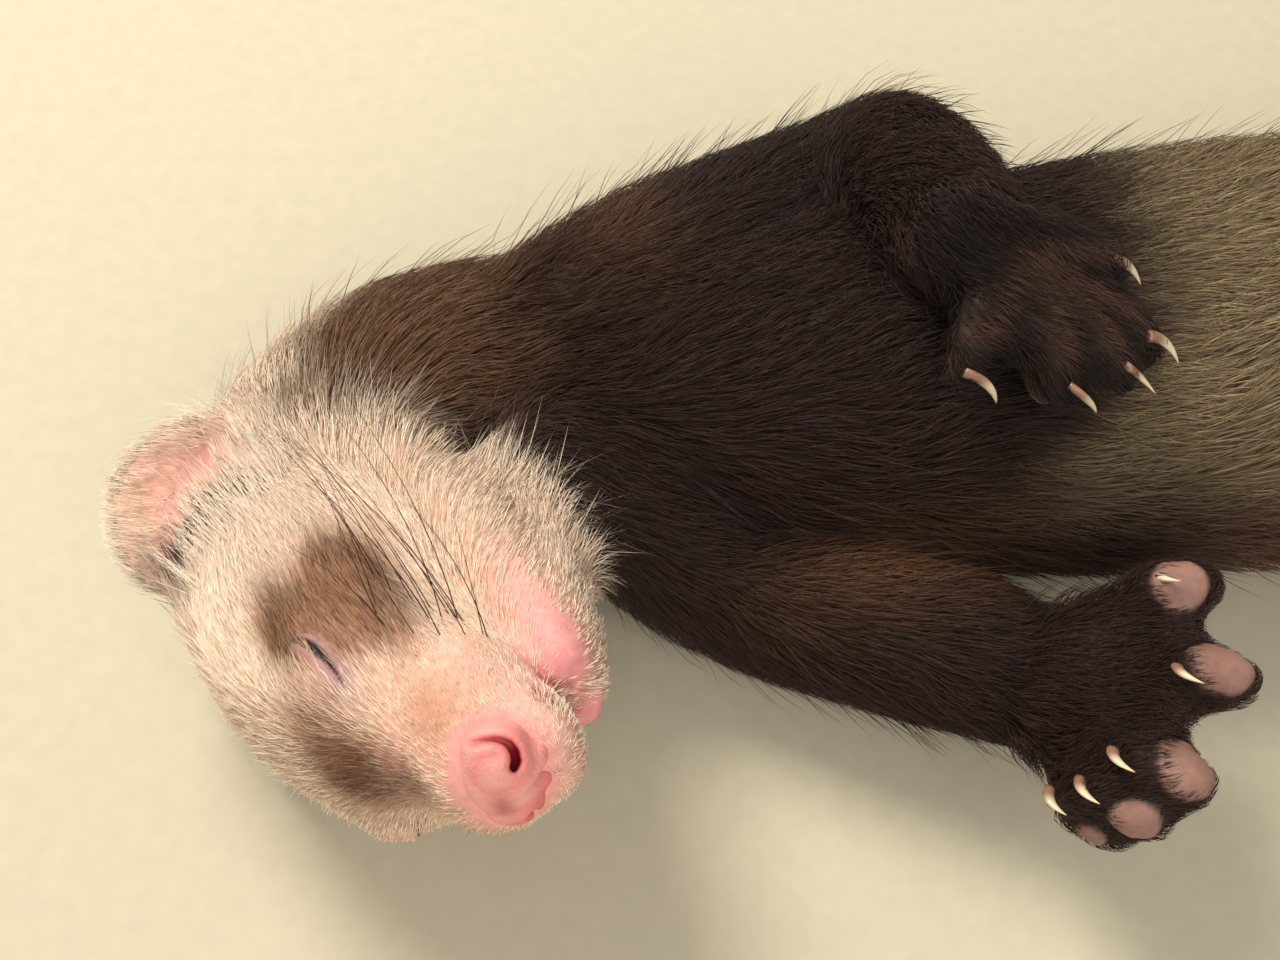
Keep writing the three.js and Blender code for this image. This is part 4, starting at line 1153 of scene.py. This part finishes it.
def whisker_piece():
    draw = np.random.default_rng(61)
    left, right = 19, 12
    n = left + right
    sides = np.repeat([1.0, -1.0], [left, right])
    spots = np.stack([draw.uniform(9, 24, n), sides * 13, draw.uniform(-9, 1, n)], axis=1)
    spots[:, 2] -= 0.25 * (spots[:, 0] - 16)
    roots = on_skin(out_of_head(spots))
    slope = skin_field.slope(roots)
    sweep = draw.uniform(0.15, 0.9, n)[:, None]
    out = (sides * np.where(sides > 0, 1.0, 0.45))[:, None]
    tilt = draw.uniform(-0.2, 0.15, n)[:, None]
    way = unit(-sweep * FORWARD + out * LEFT + tilt * CROWN + 0.35 * slope)
    bend = -0.4 * FORWARD - 0.14 * slope + draw.normal(0, 0.1, (n, 3))
    length = draw.uniform(15, 34, n) * np.where(sides > 0, 1.0, 0.55)
    return strands("whiskers", roots, way, bend, length, draw.uniform(0.11, 0.17, n), srgb(44, 28, 22))


def wisps(name, path, count, length, spread, colour, seed):
    """Long loose hairs from a path over the side of the head, sweeping back across the ear."""
    draw = np.random.default_rng(seed)
    t = draw.random(count) * (len(path) - 1)
    i = np.minimum(t.astype(int), len(path) - 2)
    spots = path[i] + (path[i + 1] - path[i]) * (t - i)[:, None] + draw.normal(0, spread, (count, 3))
    roots = on_skin(out_of_head(spots))
    slope = skin_field.slope(roots)
    way = unit(-0.9 * FORWARD + 0.5 * LEFT + draw.normal(0, 0.16, (count, 3)) + 0.15 * slope)
    bend = -0.1 * LEFT - 0.12 * FORWARD + draw.normal(0, 0.07, (count, 3))
    tint = colour * draw.uniform(0.8, 1.15, (count, 1, 1))
    length, width = draw.uniform(0.5, 1.0, count) * length, draw.uniform(0.1, 0.16, count)
    return strands(name, roots, way, bend, length, width, tint, rings=4)


EAR_EDGE = np.array([
    (-11.5, 13.5, 13.5), (-10.5, 18.5, 9.5), (-10.0, 21, 5.5), (-9.4, 21.9, 2.5), (-10.5, 22, -1.5),
    (-15, 21.3, -4.5), (-21, 20.5, -7)])
EAR_TUFTS = np.array([
    (-20, 12.5, 13.5), (-18.5, 14.5, 11), (-18.5, 18.5, 5.5), (-18.0, 19.5, 2.5), (-19.0, 20, -1)])
coats.append(whisker_piece())
coats.append(wisps("ear_wisps", EAR_EDGE, 420, 12.5, 0.8, CREAM, 71))
coats.append(wisps("ear_tufts", EAR_TUFTS, 560, 6.5, 1.2, MASK_DARK, 72))

# How far the claws of the right forepaw stand from their CAD claws
CLAW_MOVES = {
    "forepaw_right_claw_1": (4.5, 0.4, 1.4),
    "forepaw_right_claw_2": (1.5, -1.8, 1.0),
    "forepaw_right_claw_3": (0.4, -1.2, 0.6),
    "forepaw_right_claw_4": (1.6, -0.6, 0.6),
    "forepaw_right_claw_5": (1.2, -0.7, 0.4),
}
CLAW_RINGS, CLAW_SIDES = 12, 10


def claw_piece(name):
    """A slim curved claw along a CAD claw, with its root in the toe."""
    points, _ = node_mesh(name)
    points = points + np.array(CLAW_MOVES.get(name, (0, 0, 0)), np.float32)
    middle = points.mean(axis=0)
    axis = np.linalg.svd(points - middle, full_matrices=False)[2][0]
    reach = (points - middle) @ axis
    ends = [points[reach < np.quantile(reach, 0.2)], points[reach > np.quantile(reach, 0.8)]]
    ends.sort(key=lambda end: skin_field.at(end).mean())
    base, tip = (end.mean(axis=0) for end in ends)
    far = points[np.argmax((points - middle) @ (tip - base))]
    way = unit(far - base)
    turn = middle - (base + far) / 2
    turn = turn - turn @ way * way
    start, far = base - way * 1.4, far - way * 2.2
    t = np.linspace(0, 1, CLAW_RINGS)
    centres = start + (far - start) * t[:, None] + unit(turn) * (4.0 * t * (1 - t))[:, None]
    heading = unit(np.gradient(centres, axis=0))
    up = unit(turn + 1e-6)
    side = unit(np.cross(heading, up))
    up = np.cross(side, heading)
    radius = 0.64 * (1 - t**2.2) + 0.06
    angles = (np.arange(CLAW_SIDES) / CLAW_SIDES * 2 * math.pi)[None, :, None]
    rings = centres[:, None] + radius[:, None, None] * (
        np.cos(angles) * side[:, None] * 0.75 + np.sin(angles) * up[:, None] * 1.15)
    ring = np.arange(CLAW_SIDES)
    following = np.roll(ring, -1)
    faces = np.stack([ring, following, following + CLAW_SIDES, ring + CLAW_SIDES], axis=1)
    faces = np.concatenate([faces + CLAW_SIDES * k for k in range(CLAW_RINGS - 1)])
    caps = [ring[None, ::-1], ring[None] + CLAW_SIDES * (CLAW_RINGS - 1)]
    made = new_object(name + "_fine", rings.reshape(-1, 3), [faces, *caps])
    root_tint = np.repeat(srgb(150, 112, 92)[None], CLAW_RINGS * CLAW_SIDES, 0)
    paint(made, mix(root_tint, srgb(222, 206, 172), smooth(np.repeat(t, CLAW_SIDES), 0.25, 0.6)))
    made.data.materials.append(claw_material)
    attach(made, "root")
    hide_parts(name)


claw_material = material("claw", roughness=0.32, specular=0.5, bump=0.1, vary=0.08, subsurface=0.3)
for name in [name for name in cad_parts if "_claw_" in name]:
    claw_piece(name)

skin.data.materials.append(skin_material)
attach(skin, "root")
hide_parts(*PART_NAMES)
for made in coats:
    made.data.materials.append(hair_material)
    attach(made, "root")

for name in ("eye_left", "eye_right"):
    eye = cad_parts[name]
    eye.data.materials.clear()
    eye.data.materials.append(eye_material)


# ---- floor, light and camera ----

FLOOR_DROP = 0.05  # keeps the floor just clear of the part
floor_points = [(x, y, -FLOOR_DROP) for x, y in ((-900, -900), (1300, -900), (1300, 1000), (-900, 1000))]
floor = new_object("floor", floor_points, [np.array([[0, 1, 2, 3]])])
floor_material = plain("floor", srgb(198, 190, 166), roughness=0.9, bump=0.05, scale=300, vary=0.03)
floor.data.materials.append(floor_material)


AIM = (20, 0, 20)  # where the lights point


def area_light(name, at, size, power, colour):
    data = bpy.data.lights.new(name, "AREA")
    data.shape = "DISK"
    data.size = size
    data.energy = power
    data.color = colour
    made = bpy.data.objects.new(name, data)
    bpy.context.scene.collection.objects.link(made)
    made.location = (np.array(at) + SHIFT) / 1000
    way = np.array(at, float) - np.array(AIM, float)
    made.rotation_euler = Vector(way).to_track_quat("Z", "Y").to_euler()


area_light("key", (-350, 450, 700), 0.4, 8.6, (1.0, 0.94, 0.85))
area_light("fill", (150, -520, 560), 0.7, 3.2, (1.0, 0.95, 0.9))
bpy.context.scene.view_settings.view_transform = "Standard"
world = bpy.data.worlds.new("studio")
bpy.context.scene.world = world
world.use_nodes = True
sky = world.node_tree.nodes["Background"]
set_inputs(sky, {"Color": (1.0, 0.95, 0.88, 1), "Strength": 0.46})

camera_data = bpy.data.cameras.new("camera")
camera_data.lens = 40
camera_data.sensor_width = 36
camera_data.clip_start = 0.01
camera = bpy.data.objects.new("camera", camera_data)
bpy.context.scene.collection.objects.link(camera)
CAMERA_AT, CAMERA_WAY = np.array([0, -100, 203.2]), Vector((0, -100, 173.2))  # 60 degrees above the floor
camera.location = (CAMERA_AT + SHIFT) / 1000
camera.rotation_euler = CAMERA_WAY.to_track_quat("Z", "Y").to_euler()
bpy.context.scene.camera = camera
